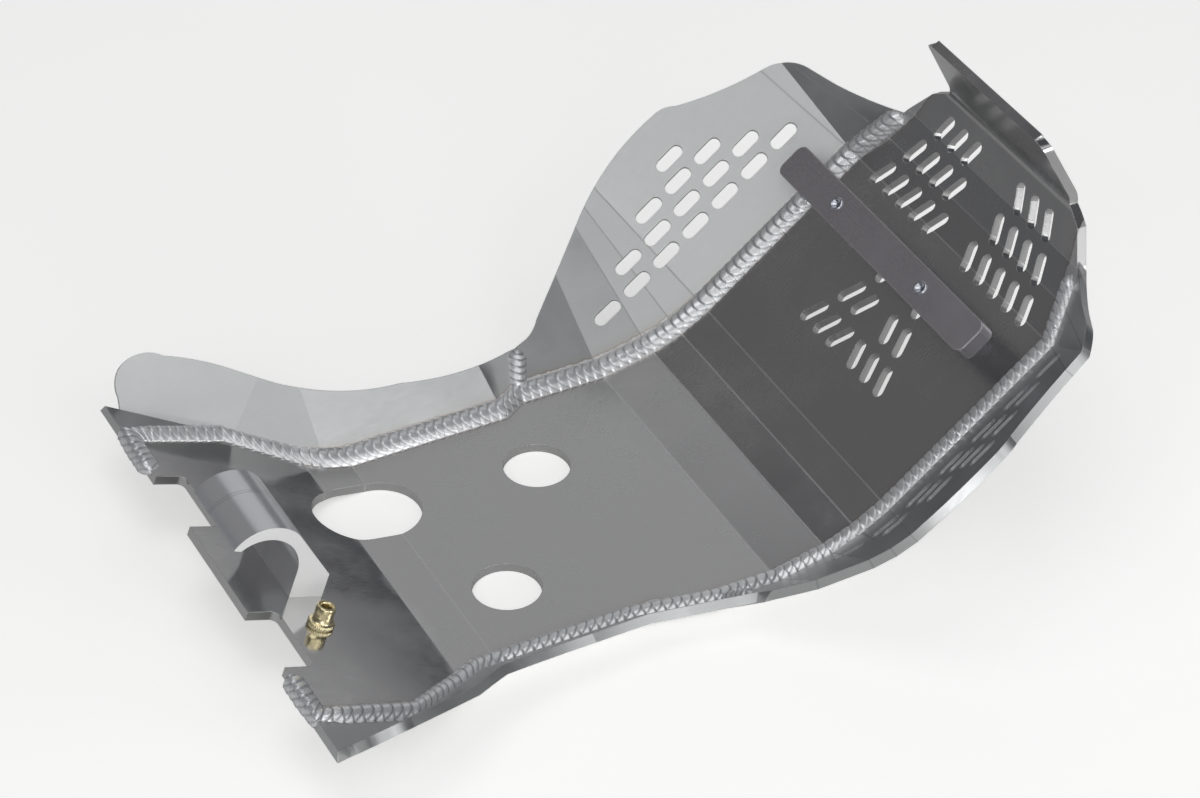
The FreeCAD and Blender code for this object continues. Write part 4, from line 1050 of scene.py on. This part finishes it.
# %% Upright joint beads
JOINT_FOOT = {1: -28.0, -1: -43.5}
JOINT_LEAN = 30.0
JOINT_ENDS = (1.0, 26.0)
JOINT_HALF = 4.8
JOINT_CAP = 3.0
JOINT_PITCH = 3.6
JOINT_BOW = -3.6
JOINT_SEED = 31


def joint_rows(side):
    front_flare, _, rear_flare = FLARES[side]
    flare = math.radians((front_flare + rear_flare) / 2)
    lean = math.radians(JOINT_LEAN)
    rise = Vector((math.sin(flare), -math.sin(lean) * math.cos(flare), math.cos(lean) * math.cos(flare)))
    normal = Vector((-math.cos(flare), 0, math.sin(flare)))
    across = rise.cross(normal).normalized()
    normal = across.cross(rise).normalized()
    foot = Vector((FRONT_SIDE, JOINT_FOOT[side], THICKNESS))
    return dense_rows([
        level_station(foot + rise * reach, across, across * -1, normal, JOINT_CAP, JOINT_HALF)
        for reach in JOINT_ENDS])


for side, word in ((1, "left"), (-1, "right")):
    rows = joint_rows(side)
    points, faces, shades = bead_mesh(rows, seed=JOINT_SEED + side, pitch=JOINT_PITCH, bow=JOINT_BOW)
    add_piece(word + "_rippled_joint", points, faces, "weld",
              word + "_joint_weld", mirror=side < 0, shades=shades)
    print(word, "joint rows:", len(rows))

# %% [markdown]
# Turned pieces are made by spinning a half section. Stacked cylinders could do, but they leave inner
# walls, and a lathe gives one clean skin. It takes the radius and height of each ring, and a wave can
# push chosen rings in and out round the axis, which cuts the teeth of a knurl. Threads are drawn as
# close rings, because at this size a true helix looks the same.

# %% Lathe and thread
# where a turn of thread has its valley, and where its crest starts and ends, as shares of the turn
THREAD_VALLEY = 0.15
THREAD_CREST = (0.5, 0.62)


def lathe(profile, sides, place, axis, hollow=False, teeth=0, depth=0.0, toothed=()):
    tilt = Z_AXIS.rotation_difference(axis)
    points = []
    for ring, (radius, height) in enumerate(profile):
        for step in range(sides):
            angle = 2 * math.pi * step / sides
            reach = radius
            if ring in toothed:
                reach -= depth * (0.5 - 0.5 * math.cos(teeth * angle))
            local = Vector((reach * math.cos(angle), reach * math.sin(angle), height))
            points.append((place + tilt @ local) * MM)
    # a hollow piece has one more row of faces, which joins its last ring to its first
    faces = net_faces(len(profile) + int(hollow), sides)
    return points, [tuple(index % len(points) for index in face) for face in faces]


def thread(radius, depth, low, high, pitch):
    rings = []
    for index in range(round((high - low) / pitch)):
        base = low + index * pitch
        rings.append((radius - depth, base + pitch * THREAD_VALLEY))
        rings += [(radius, base + pitch * share) for share in THREAD_CREST]
    return rings


print("rings in ten turns of thread:", len(thread(3.0, 0.4, 0.0, 10.0, 1.0)))

# %% [markdown]
# The brass insert is pressed into the tail from above. A knurled collar sits on the sheet, a smooth
# barrel stands on it, and its bore is threaded. The teeth could be a bump, but the collar's outline
# shows them, so they are cut in its rings. Each pair is a radius and a height above the sheet.

# %% Brass insert
INSERT_SIDES = 144
COLLAR_RADIUS = 6.85
COLLAR_TEETH = 36
TOOTH_DEPTH = 0.45
INSERT_SIDE = -48.4
INSERT_ALONG = 55.9
stem = [(4.5, -5.0), (4.5, -0.2), (6.2, 0.0)]
collar = [(COLLAR_RADIUS, 0.5), (COLLAR_RADIUS, 1.5), (COLLAR_RADIUS, 2.5)]
barrel = [(6.2, 3.0), (5.3, 3.05), (4.95, 3.3), (4.95, 7.0), (4.95, 11.3), (4.75, 11.8), (4.4, 12.0),
          (3.3, 12.0), (2.85, 11.6), (2.75, 11.2)]
bore = thread(2.5, -0.35, -4.6, 11.0, 0.9)[::-1] + [(2.8, -5.0)]
profile = stem + collar + barrel + bore
toothed = range(len(stem), len(stem) + len(collar))
points, faces = lathe(profile, INSERT_SIDES, tail.at(INSERT_SIDE, INSERT_ALONG), tail.normal,
                      hollow=True, teeth=COLLAR_TEETH, depth=TOOTH_DEPTH, toothed=toothed)
add_piece("knurled_insert", points, faces, "brass", "brass_insert")
print("insert rings:", len(profile))

# %% [markdown]
# Two bolts come up through the ramp, are held by a nut each, and end just above the bar.
# Plain rods would do from afar, but their ends catch the light as bright discs with a turned rim and
# a small dimple, and the thread shows below the bar. So both bolts are turned on the same lathe.

# %% Clamp bolts
BOLT_SIDES = 40
BOLT_SIDE = 41.5
BAR_PLACE = 90.5
BOLT_TOP = 38.5
RIM_RADIUS = 3.85
bolt_head = [(0.0, -9.0), (5.0, -9.0), (5.2, -8.6), (5.2, -5.4), (4.9, -5.0), (2.95, -5.0), (2.95, 4.8)]
bolt_neck = [(2.7, 37.2), (2.98, 37.5), (2.98, BOLT_TOP)]
# the end: a radius, and a height above the bolt's top
END_RINGS = ((RIM_RADIUS, 0.02), (RIM_RADIUS, 0.35), (3.55, 0.7), (2.95, 0.75), (2.5, 0.5), (2.3, 0.15),
             (1.2, 0.1), (0.9, -0.2), (0.0, -0.5))
bolt_end = [(radius, BOLT_TOP + height) for radius, height in END_RINGS]
bolt_profile = bolt_head + thread(3.0, 0.42, 5.0, 37.0, 1.0) + bolt_neck + bolt_end
points, faces = [], []
for side in (1, -1):
    spots, net = lathe(bolt_profile, BOLT_SIDES, ramp.at(side * BOLT_SIDE, BAR_PLACE), ramp.normal)
    faces += [tuple(index + len(points) for index in face) for face in net]
    points += spots
add_piece("threaded_bolts", points, faces, "steel", "clamp_bolts")
print("bolt rings:", len(bolt_profile))
